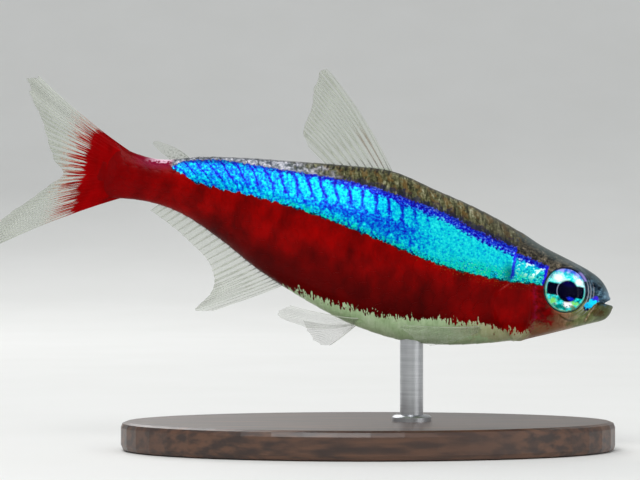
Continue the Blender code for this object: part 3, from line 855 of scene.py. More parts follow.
def make_paired_fin(kind, word, hand, rays, roots, tips, step_out, material):
    """A fin that steps out from the side of the body and sweeps back."""
    (first, first_deg), (last, last_deg) = roots
    curves = [curve_through(tips, column) for column in (1, 2, 3)]

    def off(t, lift):
        along = first + (last - first) * t
        angle = np.radians(first_deg + (last_deg - first_deg) * t)
        spot = straight(along, angle) + outward(along, angle) * lift
        return -spot[..., 0], hand * spot[..., 1], spot[..., 2]

    def root(t):
        return off(t, -0.2)

    def tip(t):
        along, side, height = [curve(t) for curve in curves]
        return along, hand * side, height

    def middle(t):
        start = np.stack(off(t, step_out))
        onward = np.stack(tip(t)) - start
        return tuple(start + onward * 0.3)

    names = (f"{kind}_rays_{word}", f"{kind}_fin_{word}")
    make_fin(*names, rays, 44, root, middle, tip, material, root_size=0.25, ripple=0.04)


def make_paired_fins(material):
    for hand, word, tips in ((-1, "right", PELVIC_FOLDED), (1, "left", PELVIC_SPREAD)):
        make_paired_fin("pelvic", word, hand, 9, PELVIC_ROOTS, tips, 0.5, material)
        make_paired_fin("pectoral", word, hand, 12, PECTORAL_ROOTS, PECTORAL_TIPS, 0.6, material)


# Eyes

PUPIL_RADIUS = 0.74
PUPIL_SHIFT = (-0.16, -0.03)
# Spots of the iris: place and reach in the eye's plane, backwards and up, strength and colour.
IRIS_SPOTS = (
    ((0.1, 1.1), (0.4, 0.12), 0.8, (0, 176, 204)),
    ((0.68, 0.7), (0.42, 0.34), 0.95, (252, 244, 252)),
    ((0.2, 0.62), (0.3, 0.2), 0.8, (206, 252, 248)),
    ((-0.8, 0.78), (0.3, 0.28), 0.95, (252, 242, 246)),
    ((-1.08, 0.5), (0.2, 0.2), 0.8, (190, 250, 250)),
    ((0.1, -1.18), (0.55, 0.14), 0.85, (0, 112, 96)),
    ((-0.41, -0.88), (0.42, 0.27), 0.97, (253, 246, 250)),
    ((0.7, -0.95), (0.34, 0.26), 0.85, (140, 222, 70)),
    ((0.52, -1.12), (0.2, 0.14), 0.7, (20, 120, 60)),
    ((-0.88, -0.72), (0.36, 0.15), 0.85, (128, 226, 80)),
    ((-0.8, -0.98), (0.3, 0.12), 0.8, (84, 116, 40)),
)


def dome(hand, radius, rings, around, level, shift=(0.0, 0.0)):
    """Places and faces of a round dome over an eye. level(r) is its height above the orbit's plane."""
    centre, back, up, out = EYES[hand]
    rs = np.linspace(0.0, radius, rings + 1)[1:]
    turns = np.linspace(0.0, 2 * math.pi, around, endpoint=False)
    r, turn = np.meshgrid(rs, turns, indexing="ij")
    a, b, c = shift[0] + r * np.cos(turn), shift[1] + r * np.sin(turn), level(r)
    a = np.concatenate([[shift[0]], a.reshape(-1)])
    b = np.concatenate([[shift[1]], b.reshape(-1)])
    c = np.concatenate([[float(level(np.float64(0.0)))], c.reshape(-1)])
    spots = centre + a[:, None] * back + b[:, None] * up + c[:, None] * out
    faces = [(0, 1 + (k + 1) % around, 1 + k) for k in range(around)]
    faces += [tuple(1 + v for v in face) for face in grid_faces(rings, around, wrap=True)]
    if np.dot(np.cross(back, up), out) > 0:
        faces = [tuple(reversed(face)) for face in faces]
    return spots, faces, np.stack([a, b, np.hypot(a, b)], -1)


def iris_level(r):
    return 0.02 + 0.1 * (1 - (r / EYE_RADIUS) ** 2) - 0.5 * smooth(r, EYE_RADIUS - 0.03, EYE_RADIUS + 0.07)


def lens_level(r):
    return 0.1 + 0.16 * np.sqrt(np.maximum(1 - (r / PUPIL_RADIUS) ** 2, 0.0)) - 0.05 * smooth(r, 0.66, 0.74)


def cornea_level(r):
    return 0.03 + 0.40 * np.sqrt(np.maximum(1 - (r / (EYE_RADIUS + 0.05)) ** 2, 0.0))


def make_eyes(iris, lens, cornea):
    for hand, word in ((1, "left"), (-1, "right")):
        spots, faces, local = dome(hand, EYE_RADIUS + 0.07, 40, 96, iris_level)
        eye = make_piece(f"iris_{word}", world(spots), faces, iris)
        write_attribute(eye, "eye", local)
        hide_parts(f"eye_{word}")
        spots, faces, local = dome(hand, PUPIL_RADIUS, 14, 64, lens_level, PUPIL_SHIFT)
        pupil = make_piece(f"lens_{word}", world(spots), faces, lens)
        write_attribute(pupil, "eye", local)
        spots, faces, local = dome(hand, EYE_RADIUS + 0.03, 24, 96, cornea_level)
        make_piece(f"cornea_{word}", world(spots), faces, cornea)


# Materials

WHITE = (255, 255, 255)


class Value:
    """An output of a shader node. Arithmetic with it adds Math nodes to its material."""

    def __init__(self, socket):
        self.socket = socket

    def __add__(self, other):
        return reckon("ADD", self, other)

    def __sub__(self, other):
        return reckon("SUBTRACT", self, other)

    def __rsub__(self, other):
        return reckon("SUBTRACT", other, self)

    def __mul__(self, other):
        return reckon("MULTIPLY", self, other)

    def __truediv__(self, other):
        return reckon("DIVIDE", self, other)

    def __pow__(self, other):
        return reckon("POWER", self, other)

    def __abs__(self):
        return reckon("ABSOLUTE", self)

    __radd__ = __add__
    __rmul__ = __mul__


def linear(colour):
    """A colour as the screen shows it, 0 to 255, turned into the linear values that shaders take."""
    shares = [level / 255 for level in colour]
    return (*[s / 12.92 if s <= 0.04045 else ((s + 0.055) / 1.055) ** 2.4 for s in shares], 1.0)


def add_node(kind, inputs, output=0, tree=None, **settings):
    """Adds a shader node and gives one of its outputs. An input that is a tuple is a colour."""
    if tree is None:
        tree = next(value.socket.id_data for value in inputs.values() if isinstance(value, Value))
    made = tree.nodes.new("ShaderNode" + kind)
    for key, value in settings.items():
        setattr(made, key, value)
    for key, value in inputs.items():
        if isinstance(value, Value):
            tree.links.new(value.socket, made.inputs[key])
        else:
            made.inputs[key].default_value = linear(value) if isinstance(value, tuple) else value
    return Value(made.outputs[output])


def reckon(operation, a, b=0.0):
    return add_node("Math", {0: a, 1: b}, operation=operation)


def larger(a, b):
    return reckon("MAXIMUM", a, b)


def fraction(a):
    return reckon("FRACT", a)


def sine(a):
    return reckon("SINE", a)


def step(value, low, high):
    """Rises smoothly from 0 at low to 1 at high, or falls where low is the larger."""
    start, end = (0.0, 1.0) if low < high else (1.0, 0.0)
    low, high = min(low, high), max(low, high)
    inputs = {0: value, 1: low, 2: high, 3: start, 4: end}
    return add_node("MapRange", inputs, interpolation_type="SMOOTHSTEP")


def sway(value, reach):
    """A noise of 0 to 1 as a swing to either side of 0."""
    return (value - 0.5) * (2.0 * reach)


def mix(share, a, b):
    return add_node("Mix", {0: share, 6: a, 7: b}, 2, data_type="RGBA")


def ramp(value, *stops):
    """A colour that changes with a value. Each stop is a value and the colour there."""
    made = add_node("ValToRGB", {0: value})
    elements = made.socket.node.color_ramp.elements
    for element, (position, colour) in zip(elements, (stops[0], stops[-1])):
        element.position, element.color = position, linear(colour)
    for position, colour in stops[1:-1]:
        elements.new(position).color = linear(colour)
    return made


def vector(x, y, z=0.0):
    return add_node("CombineXYZ", {0: x, 1: y, 2: z})


def parts_of(value):
    """The three parts of a vector."""
    return [Value(socket) for socket in add_node("SeparateXYZ", {0: value}).socket.node.outputs]


def noise(place, scale=1.0, detail=2.0, distortion=0.0):
    return add_node("TexNoise", {"Vector": place, "Scale": scale, "Detail": detail, "Distortion": distortion})


def blob_distance(a, b, place, reach):
    """Distance from a place of the plane (a, b), counted in the reach of an oval there."""
    x = (a - place[0]) * (1 / reach[0])
    y = (b - place[1]) * (1 / reach[1])
    return (x * x + y * y) ** 0.5


def blob(a, b, place, reach, waver, core=0.75):
    """1 inside a soft oval at a place of the plane (a, b)."""
    return step(blob_distance(a, b, place, reach) + waver, 1.1, core)


class Paint:
    """A material and the inputs of its shader. Their names are written with _ for a space."""

    def __init__(self, name, **settings):
        self.material = bpy.data.materials.new(name)
        self.material.use_nodes = True
        self.tree = self.material.node_tree
        self.inputs = self.tree.nodes["Principled BSDF"].inputs
        for key, value in settings.items():
            self.inputs[key.replace("_", " ")].default_value = value

    def read(self, name):
        """The three parts of an attribute that the mesh keeps at its points."""
        return parts_of(add_node("Attribute", {}, "Vector", self.tree, attribute_name=name))

    def place(self):
        """The point's own coordinates in its object, in metres."""
        return parts_of(add_node("TexCoord", {}, "Object", self.tree))

    def bump(self, height, strength, distance):
        self.finish(Normal=add_node("Bump", {"Height": height, "Strength": strength, "Distance": distance}))

    def finish(self, **sockets):
        for key, value in sockets.items():
            self.tree.links.new(value.socket, self.inputs[key.replace("_", " ")])
        return self.material


class FishPaint(Paint):
    """The material of skin and scales, with a point's place among the markings, and noise."""

    def __init__(self):
        super().__init__("fish_skin", Roughness=0.34, Specular_IOR_Level=0.35)
        self.inputs["Coat Weight"].default_value = 0.03
        self.inputs["Coat Roughness"].default_value = 0.12
        self.along, self.height, self.side = self.read("place")
        self.cheek, self.above_red, self.behind_gill = self.read("zones")
        self.band, self.above_low, self.below_top = self.read("stripe")
        self.spot, self.below_back, self.maxilla = self.read("face")
        self.orbit = self.read("orbit")
        place = vector(self.along, self.height, self.side)
        self.fine = noise(place, 5.5, 2.0)
        self.finer = noise(place, 10.0, 1.5)
        self.broad = noise(place, 0.6, 2.0)
        self.middle = noise(place, 2.4, 2.0)
        upright = self.along - self.height * 0.3
        self.streak = noise(vector(upright * 6.5, self.height * 1.9, self.side), 1.0, 3.0)
        self.ripple = noise(vector(upright * 4.0, self.height * 1.1, self.side), 1.0, 2.5, 0.9)


def scallops(at, shift, wobble):
    """How far a point of the stripe is from the middle of its patch along the stripe, 0 to 1."""
    return abs(fraction(at.band + shift + sway(wobble, 0.3)) - 0.5) * 2.0


def paint_stripe(at):
    """Granules of cyan in leaning patches parted by deep blue, with an ultramarine upper edge."""
    wobble = noise(vector(at.along, at.height, 5.0), 1.2)
    gap = scallops(at, 0.0, wobble)
    far = step(at.along, 21.0, 27.0)
    rear = step(at.along, 12.0, 15.5)
    tall = abs((at.below_top - 1.0) * (1.15 - far * 0.5))
    round_patch = step(gap * gap * 1.6 + tall * tall * tall, 1.15, 0.45)
    bead = noise(vector(at.band * 1.8, at.height * 2.0, 9.0), 1.0, 1.0)
    shingle = step(gap + sway(bead, 0.7), 0.9, 0.45) * 0.5
    shingle = shingle + step(gap, 0.6, 0.2) * step(bead, 0.46, 0.66) * 0.45
    patch = (1.0 - far) * round_patch + far * shingle
    low_gap = scallops(at, 0.45, wobble)
    low_tall = abs((at.above_low - 0.4) * 2.1)
    low_patch = step(low_gap * low_gap + low_tall * low_tall, 1.0, 0.5)
    line = step(at.below_top + sway(at.middle, 1.2), 1.7, 1.1)
    line = larger(line, far * 0.4)
    line = step(gap + sway(at.finer, 0.3), 0.78, 1.02) * line
    level = 0.44 + patch * 0.24 + low_patch * 0.19 - far * 0.04
    level = level - line * 0.34 - far * low_patch * 0.08
    level = rear * level + (1.0 - rear) * 0.78
    swing = sway(at.fine, 0.55) + sway(at.streak, 0.2) + sway(at.finer, 0.25)
    calm = 1.1 - patch * rear * 0.2 - (1.0 - rear) * 0.3
    colour = ramp(
        level + swing * calm, (0.08, (20, 0, 150)), (0.24, (6, 26, 176)), (0.42, (0, 78, 198)),
        (0.57, (0, 130, 204)), (0.74, (0, 192, 210)), (0.98, (36, 226, 222))
    )
    front_low = step(at.along, 13.5, 9.0) * step(at.above_low, 1.25, 0.5)
    low = larger(step(at.above_low, 0.6, 0.2), front_low)
    low = low * step(at.along, 26.0, 22.0)
    green = low * step(at.middle + sway(at.fine, 0.5), 0.36, 0.68)
    colour = mix(green * 0.8, colour, (0, 196, 150))
    dark = low * step(at.middle + sway(at.finer, 0.6), 0.5, 0.24)
    colour = mix(dark * 0.75, colour, (0, 84, 84))
    yellow = low * step(at.finer, 0.6, 0.72) * step(at.along, 14.0, 8.0)
    colour = mix(yellow * 0.6, colour, (150, 222, 70))
    shade = step(at.behind_gill, 1.0, 0.1) * step(at.behind_gill, -0.05, 0.05)
    shade = shade * step(at.above_low, 1.9, 0.7)
    colour = mix(shade * 0.75, colour, (0, 66, 80))
    head = step(at.behind_gill, 0.0, -0.05)
    # Painted highlights: white specks over the upper part of the stripe where it crosses the head.
    white = step(at.middle + sway(at.fine, 0.3), 0.54, 0.66)
    white = white * step(at.below_top, 1.5, 0.8) * head
    colour = mix(white * 0.85, colour, (225, 255, 255))
    edge_width = 0.08 + step(at.along, 28.0, 9.0) * 0.52 - head * 0.24
    edge = at.below_top + sway(at.fine, 0.45) - edge_width
    violet = ramp(
        at.fine + sway(at.finer, 0.3), (0.3, (20, 0, 124)), (0.44, (14, 16, 190)), (0.58, (22, 72, 208)),
        (0.78, (122, 142, 232))
    )
    colour = mix(step(edge, 0.16, -0.1), colour, violet)
    outer = step(at.below_top + sway(at.middle, 0.3), 0.3, 0.0)
    colour = mix(outer * 0.5, colour, (14, 18, 104))
    front = head * step(at.along + sway(at.fine, 0.14), 4.98, 4.82)
    colour = mix(front, colour, (20, 14, 190))
    waver = at.behind_gill + 0.02 + sway(at.middle, 0.1) + sway(at.fine, 0.12)
    line = step(abs(waver), 0.18, 0.06) * step(at.above_low, -0.1, 0.6)
    colour = mix(line * 0.95, colour, mix(at.fine, (8, 0, 96), (24, 30, 224)))
    bottom = step(at.above_low + sway(at.fine, 0.3), 0.13, 0.05)
    return mix(bottom * 0.9, colour, (2, 14, 16))


def stripe_share(at):
    """1 on the stripe and 0 off it, with its low edge scalloped by the patches."""
    scallop = abs(fraction(at.band) - 0.5) * (-0.2 - step(at.along, 20.0, 27.0) * 0.25)
    low = step(at.above_low + scallop + sway(at.streak, 0.2) + 0.05, 0.0, 0.04)
    top = step(at.below_top + sway(at.fine, 0.25), -0.03, 0.03)
    ahead = at.along + sway(at.fine, 0.1)
    return low * top * step(ahead, 4.66, 4.74) * step(ahead, STRIPE_END + 0.05, STRIPE_END - 0.05)


def paint_back(at):
    """Wavy upright streaks of olive, grey and brown, silvery over the rear half of the stripe."""
    level = at.ripple + sway(at.fine, 0.22) - 0.04
    colour = ramp(
        level, (0.3, (38, 38, 26)), (0.42, (70, 70, 44)), (0.52, (98, 98, 68)), (0.62, (130, 129, 98)),
        (0.74, (176, 174, 146))
    )
    leaning = at.along - at.height * 0.7 + sway(at.middle, 0.25)
    from_scale = abs(fraction(leaning * (1 / SCALE_PITCH)) - 0.5)
    patch = step(from_scale, 0.36, 0.16)
    warm = patch * step(at.below_back, 1.5, 0.9) * step(at.middle, 0.4, 0.58)
    colour = mix(warm * 0.45, colour, (124, 90, 40))
    mauve = step(at.middle, 0.5, 0.66) * step(at.below_back, 0.8, 1.4)
    colour = mix(mauve * 0.2, colour, (128, 96, 100))
    dull = step(at.along, 12.0, 8.0) * 0.5
    colour = mix(dull, colour, (66, 62, 54))
    silver = ramp(
        at.middle + sway(at.fine, 0.45) - 0.06, (0.24, (84, 92, 100)), (0.4, (136, 142, 152)),
        (0.54, (180, 182, 192)), (0.72, (232, 230, 238))
    )
    dash = step(from_scale, 0.4, 0.47)
    dash = dash * step(at.below_back + sway(at.broad, 1.6), 0.9, 0.3)
    silver = mix(dash * 0.8, silver, (52, 54, 72))
    rearward = at.along + at.below_back * 2.4 + sway(at.middle, 3.0)
    silvery = step(rearward, 21.0, 25.0) * step(at.along, 18.0, 21.5)
    colour = mix(silvery, colour, silver)
    rim = step(at.below_back + sway(at.fine, 0.1), 0.2, 0.06)
    colour = mix(rim * 0.7, colour, (46, 48, 44))
    dashes = step(sine(at.along * (2 * math.pi / 0.42)), 0.1, 0.7)
    root = step(at.below_back, 0.5, 0.3) * step(at.along, 16.6, 16.9) * step(at.along, 21.6, 21.2)
    colour = mix(root * dashes * 0.85, colour, (20, 18, 16))
    depth = at.below_top + sway(at.middle, 0.7) + sway(at.fine, 0.25)
    navy = step(depth, -0.5, -0.1) * step(at.along, 24.0, 17.0)
    return mix(navy * 0.8, colour, (18, 26, 58))


def paint_crown(at):
    """Brown-grey head with tan specks, slate blue on the snout, and painted shade in the nostril pits."""
    level = 0.47 + sway(at.middle, 0.35) + sway(at.fine, 0.4) + sway(at.ripple, 0.2)
    level = level + sway(at.finer, 0.15)
    brown = ramp(
        level, (0.3, (34, 32, 30)), (0.46, (68, 64, 54)), (0.6, (98, 90, 76)), (0.78, (158, 144, 124))
    )
    slate = ramp(
        level, (0.28, (14, 26, 38)), (0.46, (42, 64, 80)), (0.62, (68, 98, 116)), (0.84, (122, 158, 178))
    )
    snout = step(at.along + sway(at.middle, 1.2), 3.9, 2.3)
    colour = mix(snout, brown, slate)
    rim = step(at.below_back, 0.75, 0.2)
    colour = mix(rim * 0.65, colour, (78, 92, 92))
    tip = step(at.along, 0.75, 0.15) * step(at.height, -0.25, 0.1)
    colour = mix(tip * 0.6, colour, (124, 154, 176))
    # Painted shade: each nostril pit is darkened to deep navy.
    for place in NOSTRILS:
        nostril_shade = blob(at.along, at.height, place, (0.2, 0.14), sway(at.fine, 0.5), 0.3)
        colour = mix(nostril_shade * 0.7, colour, (8, 16, 34))
    return colour


def paint_red(at):
    """Blotched red with painted shade low on the flank and behind the gill, pink along the ridge of the tail.
    """
    tall = vector(at.along * 0.7, at.height * 0.4, at.side)
    blotch = noise(tall, 1.0, 2.0) + sway(at.streak, 0.08) + sway(at.fine, 0.05)
    colour = ramp(blotch, (0.25, (84, 0, 0)), (0.45, (120, 0, 0)), (0.6, (142, 0, 0)), (0.8, (162, 0, 0)))
    # Painted shade: the red darkens towards its lower edge and along the keel, as the lower flank lies in
    # shade.
    low = at.above_red + sway(at.broad, 1.4)
    low = step(low, 4.2, 0.8) * step(at.along, 7.0, 11.5)
    keel = at.height - at.along * 0.115 + 5.6 + sway(at.broad, 0.8)
    low = larger(low, step(keel, 1.6, 0.0) * step(at.along, 17.0, 22.0))
    colour = mix(low * step(at.along, 33.0, 28.0) * 0.75, colour, (58, 0, 0))
    shade = step(at.behind_gill, 0.0, 0.35) * step(at.behind_gill, 2.2, 0.6)
    colour = mix(shade * 0.5, colour, (70, 0, 0))
    tail = step(at.along, 30.0, 34.5)
    colour = mix(tail * 0.75, colour, (106, 0, 2))
    speck = step(at.above_low, -0.55, -0.1) * step(at.finer, 0.6, 0.7) * step(at.along, 16.0, 9.0)
    colour = mix(speck * 0.7, colour, (170, 92, 40))
    ridge = step(at.along, 30.9, 31.6) * step(at.along, 34.6, 32.6)
    magenta = ridge * step(at.below_back, 0.95, 0.3)
    colour = mix(magenta * 0.6, colour, (136, 0, 62))
    pink = step(at.below_back + sway(at.fine, 0.4), 0.3, 0.12) * step(at.along, 33.6, 32.4)
    return mix(ridge * pink, colour, (232, 186, 206))


def paint_belly(at):
    """Pale green with upright ripples, warmer at the throat."""
    colour = ramp(
        at.ripple * 0.5 + at.broad * 0.5 + sway(at.fine, 0.08), (0.28, (158, 186, 138)),
        (0.45, (178, 206, 158)), (0.6, (198, 221, 180)), (0.78, (224, 238, 212))
    )
    shade = step(at.above_red + sway(at.broad, 0.6), -0.7, -1.9)
    colour = mix(shade * 0.35, colour, (122, 144, 94))
    warm = step(at.along, 11.5, 7.0) * step(at.above_red + sway(at.middle, 1.2), -1.4, -0.4)
    return mix(warm * 0.35, colour, (176, 112, 78))


def paint_cheek(at):
    """From the red cheek, with purple streaks at its front, to the clear olive skin of the jaws."""
    ahead = at.cheek + sway(at.middle, 1.0) + sway(at.fine, 0.3)
    red = ramp(at.middle + sway(at.fine, 0.3), (0.3, (84, 0, 2)), (0.7, (132, 4, 8)))
    soft = at.middle * 0.6 + at.ripple * 0.4 + sway(at.fine, 0.12)
    brown = ramp(soft, (0.32, (106, 52, 38)), (0.5, (136, 98, 70)), (0.7, (166, 138, 106)))
    olive = ramp(soft, (0.32, (84, 90, 52)), (0.5, (112, 122, 74)), (0.7, (152, 160, 110)))
    colour = mix(step(ahead, -0.9, -1.9), red, brown)
    colour = mix(step(ahead, -2.0, -3.2), colour, olive)
    throat = step(at.height + sway(at.fine, 0.5), -2.4, -3.1)
    colour = mix(throat * 0.5, colour, (150, 130, 92))
    dusky = step(at.along + sway(at.middle, 0.5), 0.95, 0.35) * 0.7
    colour = mix(dusky, colour, (58, 60, 42))
    spot = blob(at.along, at.height, (0.62, -0.95), (0.45, 0.3), sway(at.fine, 0.6))
    colour = mix(spot * 0.75, colour, (66, 38, 12))
    chin = step(at.along, 1.4, 0.2) * step(at.height, -0.95, -1.35)
    colour = mix(chin * 0.5, colour, (112, 122, 96))
    line = step(abs(at.cheek + sway(at.middle, 0.35)), 0.24, 0.03)
    return mix(line * step(at.fine, 0.3, 0.7) * 0.6, colour, (124, 16, 76))


def paint_face(at, colour):
    """The pale rings before the eye, the light line of the upper jaw and the blue spot of the snout."""
    a, b, r = at.orbit
    front = step(a, 0.1, -0.7) * step(b, -1.45, -0.7) * step(b, 1.25, 0.6)
    for radius, strength in ((1.67, 0.75), (1.88, 0.6), (2.12, 0.45)):
        ring = step(abs(r - radius), 0.055, 0.02)
        colour = mix(ring * front * strength, colour, (176, 176, 184))
    lid = step(abs(r + a * 0.35 - 1.72), 0.07, 0.02)
    lid = lid * step(a, 0.3, -0.2) * step(a, -1.5, -1.1) * step(b, -1.1, -1.5)
    colour = mix(lid * 0.85, colour, (64, 54, 16))
    # Painted shadow: the skin just round the eye is darkened inside the socket, towards the top.
    socket = step(r, 1.64, 1.54)
    colour = mix(socket * step(b, -0.9, 0.6) * 0.8, colour, (40, 34, 60))
    lilac = blob(a, b, (-0.98, 1.22), (0.5, 0.36), sway(at.fine, 0.5))
    colour = mix(lilac * step(r, 1.8, 1.6) * 0.75, colour, (168, 150, 232))
    jaw = step(at.maxilla + sway(at.finer, 0.05), 0.075, 0.02)
    pale = mix(step(at.finer, 0.35, 0.65), (122, 88, 56), (214, 196, 162))
    colour = mix(jaw * 0.85, colour, pale)
    under = step(at.maxilla, 0.26, 0.08) * (1.0 - jaw)
    colour = mix(under * 0.5, colour, (58, 36, 12))
    spot = at.spot + sway(at.fine, 0.18)
    blue = ramp(
        at.height * 0.9 + 1.0 + sway(at.fine, 0.4), (0.2, (4, 10, 60)), (0.32, (0, 190, 250)),
        (0.7, (20, 225, 250)), (0.86, (20, 50, 225)), (0.98, (60, 30, 190))
    )
    return mix(step(spot, 0.26, 0.18), colour, blue)


def paint_fish():
    """The whole coat, each marking over the one before."""
    at = FishPaint()
    above = step(at.below_top + sway(at.fine, 0.25), 0.1, -0.05)
    back = mix(step(at.behind_gill + sway(at.middle, 1.2), 0.5, -0.5), paint_back(at), paint_crown(at))
    red = mix(step(at.cheek + sway(at.fine, 0.5), 0.25, -0.25), paint_red(at), paint_cheek(at))
    ragged = at.above_red + sway(at.streak, 0.95) + sway(at.fine, 0.25)
    low = step(ragged, 0.05, -0.05) * step(at.cheek, -0.5, 0.3) * step(at.along, 23.6, 23.2)
    flank = mix(low, red, paint_belly(at))
    tail = step(at.along + sway(at.fine, 0.3), STRIPE_END - 0.1, STRIPE_END + 0.3)
    above = above * (1.0 - tail)
    colour = mix(above, flank, back)
    front = step(at.along + sway(at.fine, 0.2), 4.85, 4.6)
    reach = step(at.along, 2.9, 1.7) + at.along * 0.12
    high = step(at.height + reach + sway(at.fine, 0.35), 0.55, 0.95)
    colour = mix(front, colour, mix(high, paint_cheek(at), paint_crown(at)))
    share = stripe_share(at)
    colour = mix(share, colour, paint_stripe(at))
    colour = paint_face(at, colour)
    glow = larger(share, step(at.spot, 0.26, 0.18))
    at.bump(at.fine * 0.5 + at.streak * 0.5, 0.3, 0.00002)
    tint = mix(0.94, WHITE, colour)
    at.finish(Base_Color=colour, Emission_Color=colour, Emission_Strength=glow * 0.1)
    return at.finish(Metallic=glow * 0.3, Specular_Tint=tint)


def paint_fin(name, haze):
    """Hazy clear membrane, pale rays with darker edges, and red where the tail fin grows from the body."""
    p = Paint(name, Roughness=0.34, Specular_IOR_Level=0.35)
    x, out, branched = p.read("fin")
    along, height, side = p.read("place")
    away = abs(fraction(x + 0.5) - 0.5)
    for start, end, spread in (FIRST_FORK, SECOND_FORK):
        away = abs(away - step(out, start, end) * branched * spread)
    share = away / (0.13 - out * 0.075)
    ray = step(share, 1.0, 0.6)
    edge = step(share, 1.15, 0.85) * step(share, 0.3, 0.6)
    fine = noise(vector(along, height), 6.0, 3.0)
    lines = noise(vector(x * 7.0, out * 1.2, side), 1.0, 2.0)
    joints = step(sine(out * 150.0), 0.5, 0.95) * step(out, 0.1, 0.4)
    colour = mix(ray, (176, 184, 168), (206, 212, 196))
    colour = mix(larger(edge, joints * ray * 0.4) * 0.75, colour, (88, 94, 76))
    lead = step(x, 0.22, 0.08)
    colour = mix(lead * 0.7, colour, (222, 228, 214))
    dark_root = ray * step(out, 0.14, 0.05)
    colour = mix(dark_root * 0.6, colour, (40, 42, 32))
    brown = step(height, 4.8, 5.4) * step(x, 1.6, 2.0) * step(x, 3.5, 3.1) * step(out, 0.5, 0.25)
    colour = mix(brown * ray * 0.6, colour, (122, 86, 40))
    orange = step(along, 36.4, 36.8) * step(along + sway(fine, 1.6), 39.8, 38.0) * ray
    colour = mix(orange * 0.8, colour, (186, 72, 34))
    streaks = noise(vector(x * 5.5, along * 0.4, 4.0), 1.0, 1.5)
    groups = noise(vector(x * 0.45, 2.0), 1.0, 1.0)
    reach = sway(groups, 0.8) + step(streaks, 0.44, 0.66) * 1.4 - step(x, 3.0, 0.5) * 0.5
    beyond = along - (37.6 + reach)
    red = step(beyond, 0.12, -0.16) * step(along, 34.0, 34.2)
    red = red * (1.0 - step(along, 38.0, 39.4) * 0.5)
    blotch = noise(vector(along * 0.7, height * 0.4, side), 1.0, 2.0)
    flesh = mix(step(blotch, 0.3, 0.7), (114, 0, 1), (148, 0, 3))
    flesh = mix(step(along, 38.0, 39.2), flesh, (170, 34, 12))
    colour = mix(red, colour, flesh)
    clear = (0.12 + lines * 0.2 + ray * 0.3 + edge * 0.25) * haze
    clear = clear + lead * 0.35 + orange * 0.3
    alpha = larger(clear, red)
    alpha = larger(alpha, step(out, 0.05, 0.0) * 0.9)
    tint = mix(red * 0.97, WHITE, colour)
    return p.finish(Base_Color=colour, Alpha=alpha, Specular_Tint=tint)


def paint_adipose():
    """A clear flap with few dusky specks."""
    p = Paint("adipose_film", Roughness=0.35)
    along, height, _ = p.read("place")
    fine = noise(vector(along, height), 7.0, 3.0)
    x, out, _ = p.read("fin")
    dusky = step(fine, 0.42, 0.8) * step(out, 1.0, 0.0)
    colour = mix(dusky, (160, 168, 150), (84, 88, 72))
    return p.finish(Base_Color=colour, Alpha=0.16 + dusky * 0.35 + step(x, 0.25, 0.0) * 0.2)


def paint_iris():
    """Aqua mirror with white glints above and below a black band, violet at the top and yellow-green
    below."""
    p = Paint("iris", Roughness=0.3, Specular_IOR_Level=0.01)
    a, b, r = p.read("eye")
    plane = vector(a, b)
    fine = noise(plane, 6.0, 2.0)
    coarse = noise(plane, 2.4, 1.0)
    colour = ramp(
        coarse + sway(fine, 0.3) + step(b, -0.4, 0.5) * 0.14, (0.3, (0, 104, 104)), (0.42, (0, 176, 176)),
        (0.54, (16, 228, 228)), (0.66, (120, 246, 240)), (0.8, (214, 252, 246))
    )
    grain = noise(plane, 14.0, 2.0)
    waver = sway(fine, 0.5) + sway(coarse, 0.5) + sway(grain, 0.6)
    for place, reach, strength, tone in IRIS_SPOTS:
        colour = mix(blob(a, b, place, reach, waver, 0.45) * strength, colour, tone)
    dusky = step(abs(b) + sway(coarse, 0.5), 0.9, 1.25) * step(grain, 0.45, 0.65)
    low = step(b, -0.4, -0.6) * step(fine, 0.55, 0.68)
    colour = mix(larger(dusky * 0.5, low) * 0.7, colour, (0, 74, 70))
    ragged = r + sway(fine, 0.12)
    crest = step(b + sway(fine, 0.4), 0.95, 1.25) * step(ragged, 1.12, 1.3)
    violet = mix(step(coarse, 0.4, 0.6), (56, 50, 214), (150, 136, 240))
    colour = mix(crest * 0.85, colour, violet)
    rim = step(ragged, 1.31, 1.42) * step(b, 1.2, 0.7)
    ring = mix(step(b, 0.5, -0.5), (108, 124, 152), (122, 166, 122))
    ring = mix(step(a, 0.2, -0.9) * step(b, 0.0, -0.7), ring, (98, 108, 72))
    # Painted shade: the iris turns nearly black at its outermost edge, where it sinks into the socket.
    ring = mix(step(r, 1.41, 1.49), ring, (24, 30, 42))
    colour = mix(rim * 0.85, colour, ring)
    tilt = b + a * 0.12 + 0.02 + sway(fine, 0.09)
    band = step(abs(tilt), 0.46, 0.37)
    pupil = blob(a, b, PUPIL_SHIFT, (0.8, 0.78), sway(fine, 0.06))
    dark = larger(band * step(r, 1.37, 1.3), pupil)
    # A thin pale ring round the pupil is a painted highlight at the edge of the lens.
    halo = blob_distance(a, b, PUPIL_SHIFT, (1.0, 1.0))
    ring = step(abs(halo - 0.775), 0.035, 0.01) * step(abs(a - PUPIL_SHIFT[0]), 0.45, 0.65)
    black = mix(ring * step(a, -1.2, 0.4) * 0.85, (2, 2, 26), (168, 172, 206))
    colour = mix(dark, colour, black)
    # Outside the black the iris glows faintly, a painted glow, and is partly metallic.
    glow_and_metal = 1.0 - dark
    p.finish(Base_Color=colour, Emission_Color=colour, Emission_Strength=glow_and_metal * 0.1)
    return p.finish(Metallic=glow_and_metal * 0.35)


